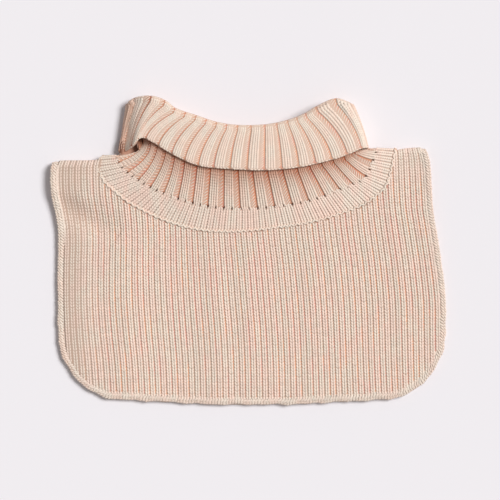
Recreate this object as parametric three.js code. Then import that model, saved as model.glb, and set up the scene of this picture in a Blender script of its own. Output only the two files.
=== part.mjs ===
// A child's knitted neck warmer, lying flat with its front up: a bib of two ribbed panels,
// a band of plain knit round the neck hole, and a wide-rib collar rolled over into a cuff.
// Millimetres. +X runs to the right seen from above, +Y towards the collar, +Z up from the
// surface that it lies on. The origin is under the middle of its outline.

import * as THREE from "three";

// Cloth
const WALL = 2.6; // thickness of the knitted cloth at the top of its ribs
const FOLD_THINNING = 1.2; // how much thinner the cloth is where the collar is folded flat
const FOLD_ROUNDING = 2; // 1 would bring the collar's layers together in a wedge
const GAP = 0.3; // clear space between neighbouring pieces
const EDGE_CLEAR = 1.2; // space between curved edges, so that their straight steps stay apart

// Collar
const COLLAR_RIBS = 38; // ribs round the collar
const COLLAR_FURROW = 0.9; // depth of the furrow between two collar ribs
const RIB_PHASES = [0, 0.28, 0.72]; // a rib's samples: the furrow, then its two shoulders
const ROLL_RADIUS = 2.1; // half the height of the roll at the top of the collar
const ROLL_LENGTH = 2.9; // how far the roll stands out past its two walls
const HEM_ROUND = 1.0; // how far the cuff's rounded edge stands out
const CUFF_FALL = 2; // 1 would bring the cuff down evenly where it hangs over the side

// Bib
const BIB_RIB_PITCH = 4.12;
const BIB_RIBS = 66;
const BIB_FURROW = 0.6; // depth of the furrow between two bib ribs
const FIRST_RIB_X = -133.5; // the leftmost furrow, level with DRIFT_LEVEL
const DRIFT_LEVEL = -35.5; // the ribs stand at their own pitch at this height
const FRONT_LEVEL = 5.9; // top of the front panel where it lies flat on the back one
const LEFT_EDGE = -138.2;
const RIGHT_EDGE = 142.9;
const CORNER_WIDTH = 44.5; // rounded lower corners
const CORNER_HEIGHT = 52;
const BOTTOM_EDGE = -107.5; // lower edge beside the corners
const BOTTOM_SAG = 4.1; // how much lower the edge hangs at its middle
const HEM_WIDTH = 4.4;
const HEM_PROUD = 0.4; // how far the hem stands above the cloth beside it

// Collar stations. rib counts round the collar from its left fold: 0 to 19 is the front, the
// rest the back. Each ring's X and Y are its outer face as seen from above. lift is 1 in the
// front layer and -1 in the back one, cuffLift the same for the cuff's lower edge, and sweep
// is how early a rib of the neck turns outward on its way down, 0.5 being straight.
const COLLAR_COLUMNS = (
  "rib foldX foldY cuffX cuffY neckX neckY baseX baseY seamX seamY lift cuffLift sweep"
).split(" ");
const COLLAR_ROWS = [
  [0, -85.3, 107.5, -91.8, 69.5, -77.4, 78.3, -95.4, 68.6, -101.2, 68.9, 0, -0.35, 0.2],
  [1, -81.4, 110.7, -88.9, 71.5, -74.5, 79.7, -94, 62.5, -103.7, 61, 0.6, 0, 0.2],
  [2, -69.5, 111.4, -84.6, 75, -70.2, 77.6, -87.5, 56, -102.6, 51.7, 0.93, 0.3, 0.24],
  [3, -59.8, 108.2, -80.3, 80.1, -65.2, 74.3, -79.6, 50.6, -96.8, 43.7, 1, 0.6, 0.33],
  [4, -52.6, 102.8, -73.8, 80.5, -59.4, 69.7, -70.9, 45.5, -85.3, 34.7, 1, 0.93, 0.36],
  [6, -37.1, 97.4, -55.1, 69.4, -45.7, 62.8, -50.8, 37.3, -59.4, 22.1, 1, 1, 0.42],
  [8, -22.7, 92.7, -36, 61, -27, 58.9, -29.2, 31.9, -32.8, 15.3, 1, 1, 0.5],
  [10, -7.6, 90.5, -13, 58.5, -7.2, 56.3, -5.8, 30.1, -6.1, 14.6, 1, 1, 0.5],
  [12, 11.9, 90.9, 11.9, 57.6, 14, 56, 19.1, 31.7, 22, 17.5, 1, 1, 0.5],
  [14, 28.1, 94.1, 36.6, 59.8, 35.6, 57.4, 43.6, 35.8, 50, 22.5, 1, 1, 0.5],
  [16, 41, 99.2, 60.5, 65.3, 52.9, 61.7, 65.9, 44.1, 77.4, 31.5, 1, 1, 0.5],
  [17, 48.6, 103.9, 71.3, 68.9, 61.2, 63.9, 75.2, 48.1, 88.2, 37.6, 1, 1, 0.47],
  [18, 62.6, 109.6, 81.7, 73.3, 69.5, 66.3, 84.6, 53.8, 99, 48.1, 0.9, 0.85, 0.42],
  [19, 74.5, 105.7, 88.6, 73.6, 81.7, 72.5, 92.5, 69, 105.5, 69, 0, 0, 0.35],
  [20, 61.5, 108.3, 84, 68, 72, 68.5, 87, 60, 101, 55, -0.9, -0.85, 0.45],
  [22, 41, 97.8, 66, 60.5, 56, 61, 70, 46, 80, 33, -1, -1, 0.5],
  [25, 20.5, 91, 30, 57, 26, 56, 32, 33, 36, 18.5, -1, -1, 0.5],
  [28.5, -10, 89, -15, 56.5, -14, 55, -15, 30.5, -16, 13.8, -1, -1, 0.5],
  [32, -37.1, 95.8, -48, 58.5, -46, 61.5, -50.8, 37, -59, 21, -1, -1, 0.5],
  [34.5, -55.5, 104.3, -67, 61.5, -62, 70, -75, 48, -90, 38, -1, -1, 0.4],
  [36.5, -74.5, 110.3, -83, 64, -73, 77, -91, 57.5, -103.4, 55, -0.85, -1, 0.3],
];

// Heights of the collar's rings in the front layer and in the back one. The fold's are those
// of the middle of its cloth, the others those of the face that looks out.
const RING_HEIGHTS = {
  base: { front: 11.2, back: 2.8 },
  neck: { front: 15.2, back: 4 },
  fold: { front: 16.6, back: 3.3 },
  cuff: { front: 18.6, back: 0.1 },
};

// How far the bib's ribs drift sideways, and how far the front panel rises above
// FRONT_LEVEL, at these stations across the panel and at these heights up it.
const PANEL_STATIONS = [-138, -103, -60, -8, 45, 95, 143];
const PANEL_COLUMNS = ["y", ...PANEL_STATIONS];
const DRIFT_ROWS = [
  [-111, 4, 5.6, 4.6, 3.6, 3.3, 3, 0.5],
  [-82, 2.2, 3.9, 3.5, 3.1, 2.4, 1.6, 0.5],
  [-58, 0.6, 1.5, 1.6, 1.9, 1.4, 0.9, 0.2],
  [-35.5, 0, 0, 0, 0, 0, 0, 0],
  [-10, 0, 0, -1, -2, -2.5, -2.3, -3],
  [6, 0.4, 0.3, -1.1, -3.5, -4.7, -4.5, -5.4],
  [18, -0.2, -0.2, -1.4, -4.4, -6.2, -6.2, -7.3],
  [30, -2.2, -1.6, -2, -5, -7.2, -7.6, -9.4],
  [42, -4.7, -3, -2.5, -5.5, -8, -8.7, -10.1],
  [60, -4.7, -3.3, -3, -6, -8.5, -9.1, -11.3],
  [66, -3, -2.2, -3, -6, -8.8, -8.9, -12],
  [74, -3, 0, -3, -6, -9, -8.2, -14.5],
];
const RISE_ROWS = [
  [-111, 0, 0, 0, 0, 0, 0, 0],
  [-35.5, 0, 0, 0, 0, 0, 0, 0.5],
  [-10, 0, 0, 0.1, 0.5, 0.3, 0, 0.9],
  [6, 0, 0.1, 0.7, 1.4, 0.9, 0.2, 1.2],
  [18, 0.2, 0.5, 1.9, 2.4, 1.9, 0.7, 1.5],
  [30, 1.2, 1.8, 2.8, 2.8, 2.8, 1.6, 1.8],
  [42, 2.9, 2.8, 3, 3, 3, 2.2, 2],
  [74, 3.1, 3.2, 3, 3, 3, 2.4, 2],
];

// Line of the shoulder folds, seen from above.
const SHOULDER_COLUMNS = ["x", "y"];
const SHOULDER_ROWS = [
  [-145, 63.5],
  [-138, 64.2],
  [-112, 64.5],
  [-107, 66.5],
  [-101, 70.5],
  [101, 71.3],
  [112, 72.8],
  [124, 73.6],
  [130, 72.5],
  [135, 71],
];

// How finely the surfaces are cut
const LOWER_ROWS = 6; // steps up a panel, from its lower edge to the level of the neck seam
const UPPER_ROWS = 2; // steps from there to the shoulder's roll
const SHOULDER_ARC_ROWS = 4; // steps round the shoulder's roll
const PLAIN_STRIDE = 4; // a plain face has one column for this many of a ribbed one
const SIDE_STEPS = 7;
const CORNER_STEPS = 8;
const BOTTOM_STEPS = 12;
const HEM_ARC_STEPS = 4;

const UP = new THREE.Vector3(0, 0, 1);
const lerp = THREE.MathUtils.lerp;

// A table whose columns are read as smooth curves over its first column.
function table(columns, rows) {
  return { columns, rows };
}

// A table that closes on itself after one period of its first column.
function closedTable(columns, rows, period) {
  const shifted = (by) => rows.map(([at, ...rest]) => [at + by, ...rest]);
  return table(columns, [...shifted(-period), ...rows, ...shifted(period)]);
}

function readColumn({ columns, rows }, name, at) {
  const c = columns.indexOf(name);
  const last = rows.length - 1;
  const here = THREE.MathUtils.clamp(at, rows[0][0], rows[last][0]);
  let i = 0;
  while (i < last - 1 && rows[i + 1][0] <= here) i++;
  const slope = (k) => {
    const before = rows[Math.max(k - 1, 0)];
    const after = rows[Math.min(k + 1, last)];
    return (after[c] - before[c]) / (after[0] - before[0]);
  };
  const span = rows[i + 1][0] - rows[i][0];
  const t = (here - rows[i][0]) / span;
  const [a, b] = [rows[i][c], rows[i + 1][c]];
  const [slopeA, slopeB] = [slope(i) * span, slope(i + 1) * span];
  return (
    (2 * t ** 3 - 3 * t ** 2 + 1) * a +
    (t ** 3 - 2 * t ** 2 + t) * slopeA +
    (3 * t ** 2 - 2 * t ** 3) * b +
    (t ** 3 - t ** 2) * slopeB
  );
}

const COLLAR = closedTable(COLLAR_COLUMNS, COLLAR_ROWS, COLLAR_RIBS);
const DRIFT = table(PANEL_COLUMNS, DRIFT_ROWS);
const RISE = table(PANEL_COLUMNS, RISE_ROWS);
const SHOULDER = table(SHOULDER_COLUMNS, SHOULDER_ROWS);

// Value of a panel table at a place: each station's curve up the panel, then one across.
function acrossPanel(panelTable, x, y) {
  const levels = PANEL_STATIONS.map((s) => [s, readColumn(panelTable, s, y)]);
  return readColumn(table(["x", "value"], levels), "value", x);
}

const drift = (x, y) => acrossPanel(DRIFT, x, y);
const frontHeight = (x, y) => FRONT_LEVEL + acrossPanel(RISE, x, y);
const shoulderLine = (x) => readColumn(SHOULDER, "y", x);

// A closed body from points and triangles.
function solidGeometry(points, triangles) {
  const geometry = new THREE.BufferGeometry().setFromPoints(points);
  geometry.setIndex(triangles.flat());
  geometry.computeVertexNormals();
  return geometry;
}

// A ring-shaped body: sections round the ring, each a closed profile of as many points.
function ringSolid(sections) {
  const around = sections.length;
  const along = sections[0].length;
  const at = (i, k) => (i % around) * along + (k % along);
  const triangles = [];
  for (let i = 0; i < around; i++) {
    for (let k = 0; k < along; k++) {
      const [a, b, c, d] = [at(i, k), at(i + 1, k), at(i + 1, k + 1), at(i, k + 1)];
      triangles.push([a, b, c], [a, c, d]);
    }
  }
  return solidGeometry(sections.flat(), triangles);
}

// A strip with closed ends: sections along it, each a closed profile of as many points.
function stripSolid(sections) {
  const along = sections[0].length;
  const last = (sections.length - 1) * along;
  const triangles = [];
  for (let i = 0; i < last; i += along) {
    for (let k = 0; k < along; k++) {
      const next = (k + 1) % along;
      triangles.push([i + k, i + next, i + along + next]);
      triangles.push([i + k, i + along + next, i + along + k]);
    }
  }
  for (let k = 1; k < along - 1; k++) {
    triangles.push([0, k + 1, k]);
    triangles.push([last, last + k, last + k + 1]);
  }
  return solidGeometry(sections.flat(), triangles);
}

// Collar

// Where a rib lies between the back layer, -1, and the front one, 1. The layers stay apart
// until close to the folds at the collar's ends, and turn round there.
function liftOf(column, rib) {
  const lift = THREE.MathUtils.clamp(readColumn(COLLAR, column, rib), -1, 1);
  return Math.sign(lift) * (1 - (1 - Math.abs(lift)) ** FOLD_ROUNDING);
}

// A point of one of the collar's rings, on its outer face.
function ringPoint(ring, rib) {
  const x = readColumn(COLLAR, ring + "X", rib);
  const y = readColumn(COLLAR, ring + "Y", rib);
  const share = (1 + liftOf(ring === "cuff" ? "cuffLift" : "lift", rib)) / 2;
  if (ring === "seam") return new THREE.Vector3(x, y, share * frontHeight(x, y));
  const { front, back } = RING_HEIGHTS[ring];
  return new THREE.Vector3(x, y, lerp(back, front, share));
}

// The rings between which the cloth's run past each ring is measured.
const RUNS = {
  seam: ["seam", "base"],
  base: ["seam", "neck"],
  neck: ["base", "fold"],
  fold: ["neck", "fold"],
  cuff: ["cuff", "fold"],
};

function ringRun(ring, rib) {
  const [from, to] = RUNS[ring];
  return ringPoint(to, rib).sub(ringPoint(from, rib)).normalize();
}

// Which way a ring's face looks out.
function ringNormal(ring, rib) {
  const step = 0.25;
  const tangent = ringPoint(ring, rib + step).sub(ringPoint(ring, rib - step));
  return tangent.cross(ringRun(ring, rib)).normalize();
}

// Thickness of the cloth at a rib.
function wallAt(rib) {
  return WALL - FOLD_THINNING * (1 - Math.abs(liftOf("lift", rib)));
}

function ringMiddle(ring, rib) {
  return ringPoint(ring, rib).addScaledVector(ringNormal(ring, rib), -wallAt(rib) / 2);
}

// A point on the way from one ring to the next, whose sideways run is ahead or behind:
// half way along, it has gone the given share of it. A fall over 1 brings it down late.
function sweptPoint(from, to, t, share, fall = 1) {
  const sideways = t + 4 * (share - 0.5) * t * (1 - t);
  return new THREE.Vector3(
    lerp(from.x, to.x, sideways),
    lerp(from.y, to.y, t),
    lerp(from.z, to.z, t ** fall),
  );
}

// The middle of the collar's cloth along one rib, from the neck's foot up to the roll, over
// it and down to the cuff's edge. neckFurrow and cuffFurrow say how deep the furrows are cut
// in the neck's outer face and in the cuff's, as shares of COLLAR_FURROW.
function collarMidline(rib) {
  const base = ringMiddle("base", rib);
  const neck = ringMiddle("neck", rib);
  const edge = ringMiddle("cuff", rib);
  const lift = Math.abs(readColumn(COLLAR, "lift", rib));
  const sweep = readColumn(COLLAR, "sweep", rib);
  const outward = ringNormal("fold", rib);
  const fold = ringPoint("fold", rib);
  const upward = fold.clone().sub(neck).normalize();
  fold.addScaledVector(upward, -wallAt(rib) / 2 - ROLL_LENGTH);
  const rolled = (angle) =>
    fold
      .clone()
      .addScaledVector(upward, ROLL_LENGTH * Math.sin(angle))
      .addScaledVector(outward, -ROLL_RADIUS * Math.cos(angle));
  const cuffTop = rolled(Math.PI);
  const cuffShare = 0.5 + 0.16 * lift;
  const towardsEdge = edge.clone().sub(cuffTop).normalize();
  edge.addScaledVector(towardsEdge, -HEM_ROUND);
  base.addScaledVector(ringRun("base", rib), GAP);
  return {
    stations: [
      { at: base, neckFurrow: 0, cuffFurrow: 0 },
      { at: sweptPoint(neck, base, 0.5, sweep), neckFurrow: 1, cuffFurrow: 0 },
      { at: neck, neckFurrow: 1, cuffFurrow: 0 },
      { at: rolled(0), neckFurrow: 0.4, cuffFurrow: 0 },
      { at: rolled(Math.PI / 4), neckFurrow: 0, cuffFurrow: 0.3 },
      { at: rolled(Math.PI / 2), neckFurrow: 0, cuffFurrow: 0.7 },
      { at: rolled((3 * Math.PI) / 4), neckFurrow: 0, cuffFurrow: 1 },
      { at: cuffTop, neckFurrow: 0, cuffFurrow: 1 },
      { at: sweptPoint(cuffTop, edge, 0.4, cuffShare, CUFF_FALL), neckFurrow: 0, cuffFurrow: 1 },
      { at: sweptPoint(cuffTop, edge, 0.8, cuffShare, CUFF_FALL), neckFurrow: 0, cuffFurrow: 1 },
      { at: edge, neckFurrow: 0, cuffFurrow: 0.7 },
    ],
    tip: edge.clone().addScaledVector(towardsEdge, HEM_ROUND),
  };
}

function collarSection(rib, inFurrow) {
  const step = 0.25;
  const { stations, tip } = collarMidline(rib);
  const before = collarMidline(rib - step).stations;
  const after = collarMidline(rib + step).stations;
  const [outer, inner] = [[], []];
  const half = wallAt(rib) / 2;
  const cut = inFurrow ? Math.min(COLLAR_FURROW, half) : 0;
  stations.forEach(({ at, neckFurrow, cuffFurrow }, v) => {
    const lower = stations[Math.max(v - 1, 0)].at;
    const upper = stations[Math.min(v + 1, stations.length - 1)].at;
    const acrossRib = after[v].at.clone().sub(before[v].at);
    const crossed = acrossRib.cross(upper.clone().sub(lower)).normalize();
    const normal = v === 0 ? ringNormal("base", rib) : crossed;
    outer.push(at.clone().addScaledVector(normal, half - cut * neckFurrow));
    inner.push(at.clone().addScaledVector(normal, cut * cuffFurrow - half));
  });
  return [...outer, tip, ...inner.reverse()];
}

function rollCollar() {
  const sections = [];
  for (let rib = 0; rib < COLLAR_RIBS; rib++) {
    for (const phase of RIB_PHASES) sections.push(collarSection(rib + phase, phase === 0));
  }
  return ringSolid(sections);
}

// The band of plain knit between the seam and the collar's foot.
function neckBand() {
  const stepsPerRib = 2;
  const shares = [0, 0.5, 1];
  const sections = [];
  for (let i = 0; i < COLLAR_RIBS * stepsPerRib; i++) {
    const rib = i / stepsPerRib;
    const seam = ringPoint("seam", rib);
    const base = ringPoint("base", rib);
    const [seamNormal, baseNormal] = [ringNormal("seam", rib), ringNormal("base", rib)];
    base.addScaledVector(ringRun("base", rib), -GAP);
    const outer = shares.map((share) => seam.clone().lerp(base, share));
    const inner = outer.map((p, i) => {
      const normal = seamNormal.clone().lerp(baseNormal, shares[i]).normalize();
      return p.clone().addScaledVector(normal, -wallAt(rib));
    });
    sections.push([...outer, ...inner.reverse()]);
  }
  return ringSolid(sections);
}

// Bib outline

// The lower edge of the bib, drawn in by the given distance, from the left side to the right
// one. Each point says which way the edge looks out.
function lowerOutline(inset) {
  const points = [];
  const add = (x, y, outX, outY) => {
    const length = Math.hypot(outX, outY);
    const [ox, oy] = [outX / length, outY / length];
    points.push({ x: x - ox * inset, y: y - oy * inset, outX: ox, outY: oy });
  };
  const cornerY = BOTTOM_EDGE + CORNER_HEIGHT;
  const addCorner = (centreX, side, angles) => {
    for (const angle of angles) {
      const [s, c] = [Math.sin(angle), Math.cos(angle)];
      const x = centreX + side * CORNER_WIDTH * c;
      const y = cornerY - CORNER_HEIGHT * s;
      add(x, y, side * CORNER_HEIGHT * c, -CORNER_WIDTH * s);
    }
  };
  const steps = (count) => Array.from({ length: count + 1 }, (_, i) => i / count);
  const quarter = Math.PI / 2;
  const cornerAngles = steps(CORNER_STEPS).map((t) => t * quarter);
  const leftCentre = LEFT_EDGE + CORNER_WIDTH;
  const rightCentre = RIGHT_EDGE - CORNER_WIDTH;
  addCorner(leftCentre, -1, cornerAngles);
  for (const t of steps(BOTTOM_STEPS).slice(1, -1)) {
    const x = lerp(leftCentre, rightCentre, t);
    const slope = -BOTTOM_SAG * Math.PI * Math.cos(Math.PI * t) / (rightCentre - leftCentre);
    add(x, BOTTOM_EDGE - BOTTOM_SAG * Math.sin(Math.PI * t), slope, -1);
  }
  addCorner(rightCentre, 1, [...cornerAngles].reverse());
  return points;
}

// Height of a line of points at x, where the line runs from left to right.
function lineHeight(line, x) {
  let i = 0;
  while (i < line.length - 2 && line[i + 1].x < x) i++;
  const t = (x - line[i].x) / (line[i + 1].x - line[i].x);
  return lerp(line[i].y, line[i + 1].y, THREE.MathUtils.clamp(t, 0, 1));
}

// The panel's edge under the neck seam, from left to right, clear of the band.
function neckline(firstRib, lastRib) {
  const stepsPerRib = 3;
  const clear = EDGE_CLEAR + GAP;
  const count = Math.round(Math.abs(lastRib - firstRib) * stepsPerRib);
  const points = [];
  for (let i = 0; i <= count; i++) {
    const rib = lerp(firstRib, lastRib, i / count);
    const [p, q] = [ringPoint("seam", rib - 0.1), ringPoint("seam", rib + 0.1)];
    const base = ringPoint("base", rib);
    const along = new THREE.Vector2(q.x - p.x, q.y - p.y).normalize();
    const away = new THREE.Vector2(along.y, -along.x);
    const middle = ringPoint("seam", rib);
    const towardsBase = new THREE.Vector2(base.x - middle.x, base.y - middle.y);
    if (away.dot(towardsBase) > 0) away.negate();
    points.push({ x: middle.x + away.x * clear, y: middle.y + away.y * clear });
  }
  return points;
}

// The bib's left or right edge at a height above the corners.
function sideEdge(side, y) {
  const edge = side < 0 ? LEFT_EDGE : RIGHT_EDGE;
  return edge + (y > DRIFT_LEVEL ? drift(edge, y) : 0);
}

// Bib panels

// Where a panel's column stands at a height. The outermost ones run beside the hem.
function columnX(column, y) {
  const { x, outermost } = column;
  if (outermost === 0) return x + drift(x, y);
  return sideEdge(outermost, y) - outermost * (HEM_WIDTH + EDGE_CLEAR);
}

// The columns of a panel, a furrow and a ridge for each rib, told apart by where they end:
// at the neck seam, or over the left or the right shoulder.
function panelColumns(neck) {
  const half = BIB_RIB_PITCH / 2;
  const tips = [neck[0], neck[neck.length - 1]];
  const columns = [];
  for (let i = 0; i <= 2 * BIB_RIBS; i++) {
    const outermost = i === 0 ? -1 : i === 2 * BIB_RIBS ? 1 : 0;
    const x = FIRST_RIB_X + i * half;
    columns.push({ index: i, x, furrow: i % 2 === 0, outermost });
  }
  const tipColumns = tips.map((tip) => {
    const distance = (c) => Math.abs(columnX(c, tip.y) - tip.x);
    const nearest = columns.reduce((a, b) => (distance(a) < distance(b) ? a : b));
    nearest.x += tip.x - columnX(nearest, tip.y);
    return nearest.index;
  });
  for (const c of columns) {
    c.isTip = tipColumns.includes(c.index);
    c.left = c.index <= tipColumns[0];
    c.right = c.index >= tipColumns[1];
    if (c.left) c.top = tips[0].y;
    else if (c.right) c.top = tips[1].y;
    else {
      c.top = lineHeight(neck, c.x);
      for (let k = 0; k < 6; k++) c.top = lineHeight(neck, columnX(c, c.top));
    }
  }
  const edge = lowerOutline(HEM_WIDTH + EDGE_CLEAR);
  for (const c of columns) {
    c.bottom = c.outermost === 0 ? lineHeight(edge, c.x) : BOTTOM_EDGE + CORNER_HEIGHT;
    if (c.outermost !== 0) continue;
    for (let k = 0; k < 6; k++) c.bottom = lineHeight(edge, columnX(c, c.bottom));
  }
  return columns;
}

// One face of a panel: its points, its triangles seen from above, and its edges in turn,
// anticlockwise from the lower left corner. place(column, row) gives a point, rows above
// LOWER_ROWS being over a shoulder.
function panelFace(columns, upperRows, place) {
  const points = [];
  const indices = columns.map((c) => {
    const rows = LOWER_ROWS + (c.left || c.right ? upperRows : 0);
    return Array.from({ length: rows + 1 }, (_, row) => points.push(place(c, row)) - 1);
  });
  const triangles = [];
  for (let i = 0; i + 1 < columns.length; i++) {
    const [a, b] = [columns[i], columns[i + 1]];
    const shoulder = (a.left && b.left) || (a.right && b.right);
    const rows = LOWER_ROWS + (shoulder ? upperRows : 0);
    for (let row = 0; row < rows; row++) {
      const [p, q] = [indices[i][row], indices[i + 1][row]];
      const [r, s] = [indices[i + 1][row + 1], indices[i][row + 1]];
      triangles.push([p, q, r], [p, r, s]);
    }
  }
  const last = columns.length - 1;
  const leftTip = columns.findLastIndex((c) => c.left);
  const rightTip = columns.findIndex((c) => c.right);
  const topRow = LOWER_ROWS + upperRows;
  const across = (from, to, row) => indices.slice(from, to + 1).map((column) => column[row]);
  const edges = [
    across(0, last, 0),
    indices[last].slice(),
    across(rightTip, last, topRow).reverse(),
    indices[rightTip].slice(LOWER_ROWS).reverse(),
    across(leftTip, rightTip, LOWER_ROWS).reverse(),
    indices[leftTip].slice(LOWER_ROWS),
    across(0, leftTip, topRow).reverse(),
    indices[0].slice().reverse(),
  ];
  return { points, triangles, edges };
}

// Joins two edges that run side by side, whatever number of points each has.
function wallBetween(low, high, points) {
  const measure = (line) => {
    if (low.length === high.length) return line.map((_, i) => i);
    const along = [0];
    for (let i = 1; i < line.length; i++) {
      along.push(along[i - 1] + points[line[i]].distanceTo(points[line[i - 1]]));
    }
    return along.map((d) => d / along[along.length - 1]);
  };
  const [lowAt, highAt] = [measure(low), measure(high)];
  const triangles = [];
  let [i, k] = [0, 0];
  while (i < low.length - 1 || k < high.length - 1) {
    const stepLow = k === high.length - 1 || (i < low.length - 1 && lowAt[i + 1] <= highAt[k + 1]);
    if (stepLow) {
      triangles.push([low[i], low[i + 1], high[k]]);
      i++;
    } else {
      triangles.push([low[i], high[k + 1], high[k]]);
      k++;
    }
  }
  return triangles;
}

function panelSolid(upper, lower) {
  const shift = upper.points.length;
  const shifted = (list) => list.map((i) => i + shift);
  const points = [...upper.points, ...lower.points];
  const triangles = [...upper.triangles];
  for (const [a, b, c] of lower.triangles) triangles.push(shifted([a, c, b]));
  upper.edges.forEach((edge, i) => {
    triangles.push(...wallBetween(shifted(lower.edges[i]), edge, points));
  });
  return solidGeometry(points, triangles);
}

const plainColumns = (columns) =>
  columns.filter((c) => c.isTip || c.index % PLAIN_STRIDE === 0);

// Radius of the roll over a shoulder, which brings the front panel down to the floor.
const shoulderRadius = (x) => frontHeight(x, shoulderLine(x)) / 2;

// A point of the front panel, the given depth below its face.
function frontPoint(column, row, depth) {
  const place = (y) => new THREE.Vector3(columnX(column, y), y, 0);
  if (row <= LOWER_ROWS) {
    const p = place(lerp(column.bottom, column.top, row / LOWER_ROWS));
    return p.setZ(frontHeight(p.x, p.y) - depth);
  }
  const end = place(column.top);
  const radius = shoulderRadius(end.x);
  const arcStart = shoulderLine(end.x) - radius;
  const rise = row - LOWER_ROWS;
  if (rise < UPPER_ROWS) {
    const p = place(lerp(column.top, arcStart, rise / UPPER_ROWS));
    return p.setZ(frontHeight(p.x, p.y) - depth);
  }
  const angle = ((rise - UPPER_ROWS) / SHOULDER_ARC_ROWS) * Math.PI;
  const p = place(arcStart + (radius - depth) * Math.sin(angle));
  return p.setZ(radius + (radius - depth) * Math.cos(angle));
}

function frontBib() {
  const columns = panelColumns(neckline(1.7, 18.8));
  const upperRows = UPPER_ROWS + SHOULDER_ARC_ROWS;
  const outer = (c, row) => frontPoint(c, row, c.furrow ? BIB_FURROW : 0);
  const inner = (c, row) => frontPoint(c, row, WALL);
  return panelSolid(
    panelFace(columns, upperRows, outer),
    panelFace(plainColumns(columns), upperRows, inner),
  );
}

// The back panel lies flat, and its shoulders stop where the front panel's roll ends.
function backBib() {
  const columns = plainColumns(panelColumns(neckline(36.4, 19.4)));
  const place = (column, row, z) => {
    const at = (y) => new THREE.Vector3(columnX(column, y), y, z);
    if (row <= LOWER_ROWS) return at(lerp(column.bottom, column.top, row / LOWER_ROWS));
    const { x } = at(column.top);
    const end = shoulderLine(x) - shoulderRadius(x) - EDGE_CLEAR - GAP;
    return at(lerp(column.top, end, (row - LOWER_ROWS) / UPPER_ROWS));
  };
  return panelSolid(
    panelFace(columns, UPPER_ROWS, (c, row) => place(c, row, WALL)),
    panelFace(columns, UPPER_ROWS, (c, row) => place(c, row, 0)),
  );
}

// Hems

// Where the side of the bib starts to roll over its shoulder.
function shoulderStart(side) {
  const x = sideEdge(side, 60);
  const radius = shoulderRadius(x);
  return { radius, y: shoulderLine(x) - radius };
}

// One section of a hem: its profile from the panel's edge out to the rim. at is on the
// cloth's face at the rim, out looks away from the cloth and up away from its face.
function hemSection(at, out, up, thickness) {
  const profile = [
    [HEM_WIDTH, 0],
    [HEM_WIDTH * 0.55, HEM_PROUD],
    [0.9, HEM_PROUD * 0.6],
    [0, -thickness / 2],
    [0.6, -thickness],
    [HEM_WIDTH, -thickness],
  ];
  return profile.map(([inward, height]) =>
    at.clone().addScaledVector(out, -inward).addScaledVector(up, height),
  );
}

// A hem's sections down one side, from the shoulder to the corner.
function sideSections(side, heightAt, thickness) {
  const { y: top } = shoulderStart(side);
  const bottom = BOTTOM_EDGE + CORNER_HEIGHT;
  const out = new THREE.Vector3(side, 0, 0);
  const sections = [];
  for (let i = 0; i < SIDE_STEPS; i++) {
    const y = lerp(top, bottom, i / SIDE_STEPS) - (i === 0 ? GAP : 0);
    const x = sideEdge(side, y);
    sections.push(hemSection(new THREE.Vector3(x, y, heightAt(x, y)), out, UP, thickness));
  }
  return sections;
}

// The hem's sections where it goes over the shoulder, from underneath to the front.
function shoulderSections(side) {
  const { radius, y: arcStart } = shoulderStart(side);
  const hemRadius = radius - HEM_PROUD / 2;
  const out = new THREE.Vector3(side, 0, 0);
  const sections = [];
  for (let i = 0; i < HEM_ARC_STEPS; i++) {
    const angle = Math.PI * (1 - i / HEM_ARC_STEPS);
    const up = new THREE.Vector3(0, Math.sin(angle), Math.cos(angle));
    const x = sideEdge(side, arcStart + radius * Math.sin(angle));
    const centre = new THREE.Vector3(x, arcStart, radius + HEM_PROUD / 2);
    const at = centre.addScaledVector(up, hemRadius);
    if (i === 0) at.y += GAP;
    sections.push(hemSection(at, out, up, WALL));
  }
  return sections;
}

function lowerSections(heightAt, thickness) {
  return lowerOutline(0).map(({ x, y, outX, outY }) => {
    const out = new THREE.Vector3(outX, outY, 0);
    return hemSection(new THREE.Vector3(x, y, heightAt(x, y)), out, UP, thickness);
  });
}

function frontHem() {
  return stripSolid([
    ...shoulderSections(-1),
    ...sideSections(-1, frontHeight, WALL),
    ...lowerSections(frontHeight, WALL),
    ...sideSections(1, frontHeight, WALL).reverse(),
    ...shoulderSections(1).reverse(),
  ]);
}

// The back hem is lower by its own rise, so that it stays clear of the front one.
function backHem() {
  const thickness = WALL - HEM_PROUD;
  const level = () => thickness;
  return stripSolid([
    ...sideSections(-1, level, thickness),
    ...lowerSections(level, thickness),
    ...sideSections(1, level, thickness).reverse(),
  ]);
}

function cloth(name, geometry, color) {
  const material = new THREE.MeshStandardMaterial({ color, roughness: 0.95, metalness: 0 });
  const mesh = new THREE.Mesh(geometry, material);
  mesh.name = name;
  return mesh;
}

const model = new THREE.Group();
model.add(
  cloth("front_bib", frontBib(), 0xdcc3b3),
  cloth("back_bib", backBib(), 0xd6bcac),
  cloth("front_hem", frontHem(), 0xe0cbbb),
  cloth("back_hem", backHem(), 0xd9c2b2),
  cloth("neck_band", neckBand(), 0xe2c4b0),
  cloth("roll_collar", rollCollar(), 0xe2c7b8),
);

export default model;
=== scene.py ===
"""A child's knitted neck warmer, lying flat with its front up.

The cloth of each piece is a closed mesh in the colour of the yarn's shaded depths, and the
stitches lie on it as grains of yarn, two legs to a stitch. Sizes are in millimetres, and
meshes are made in metres.
"""
import math

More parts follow.
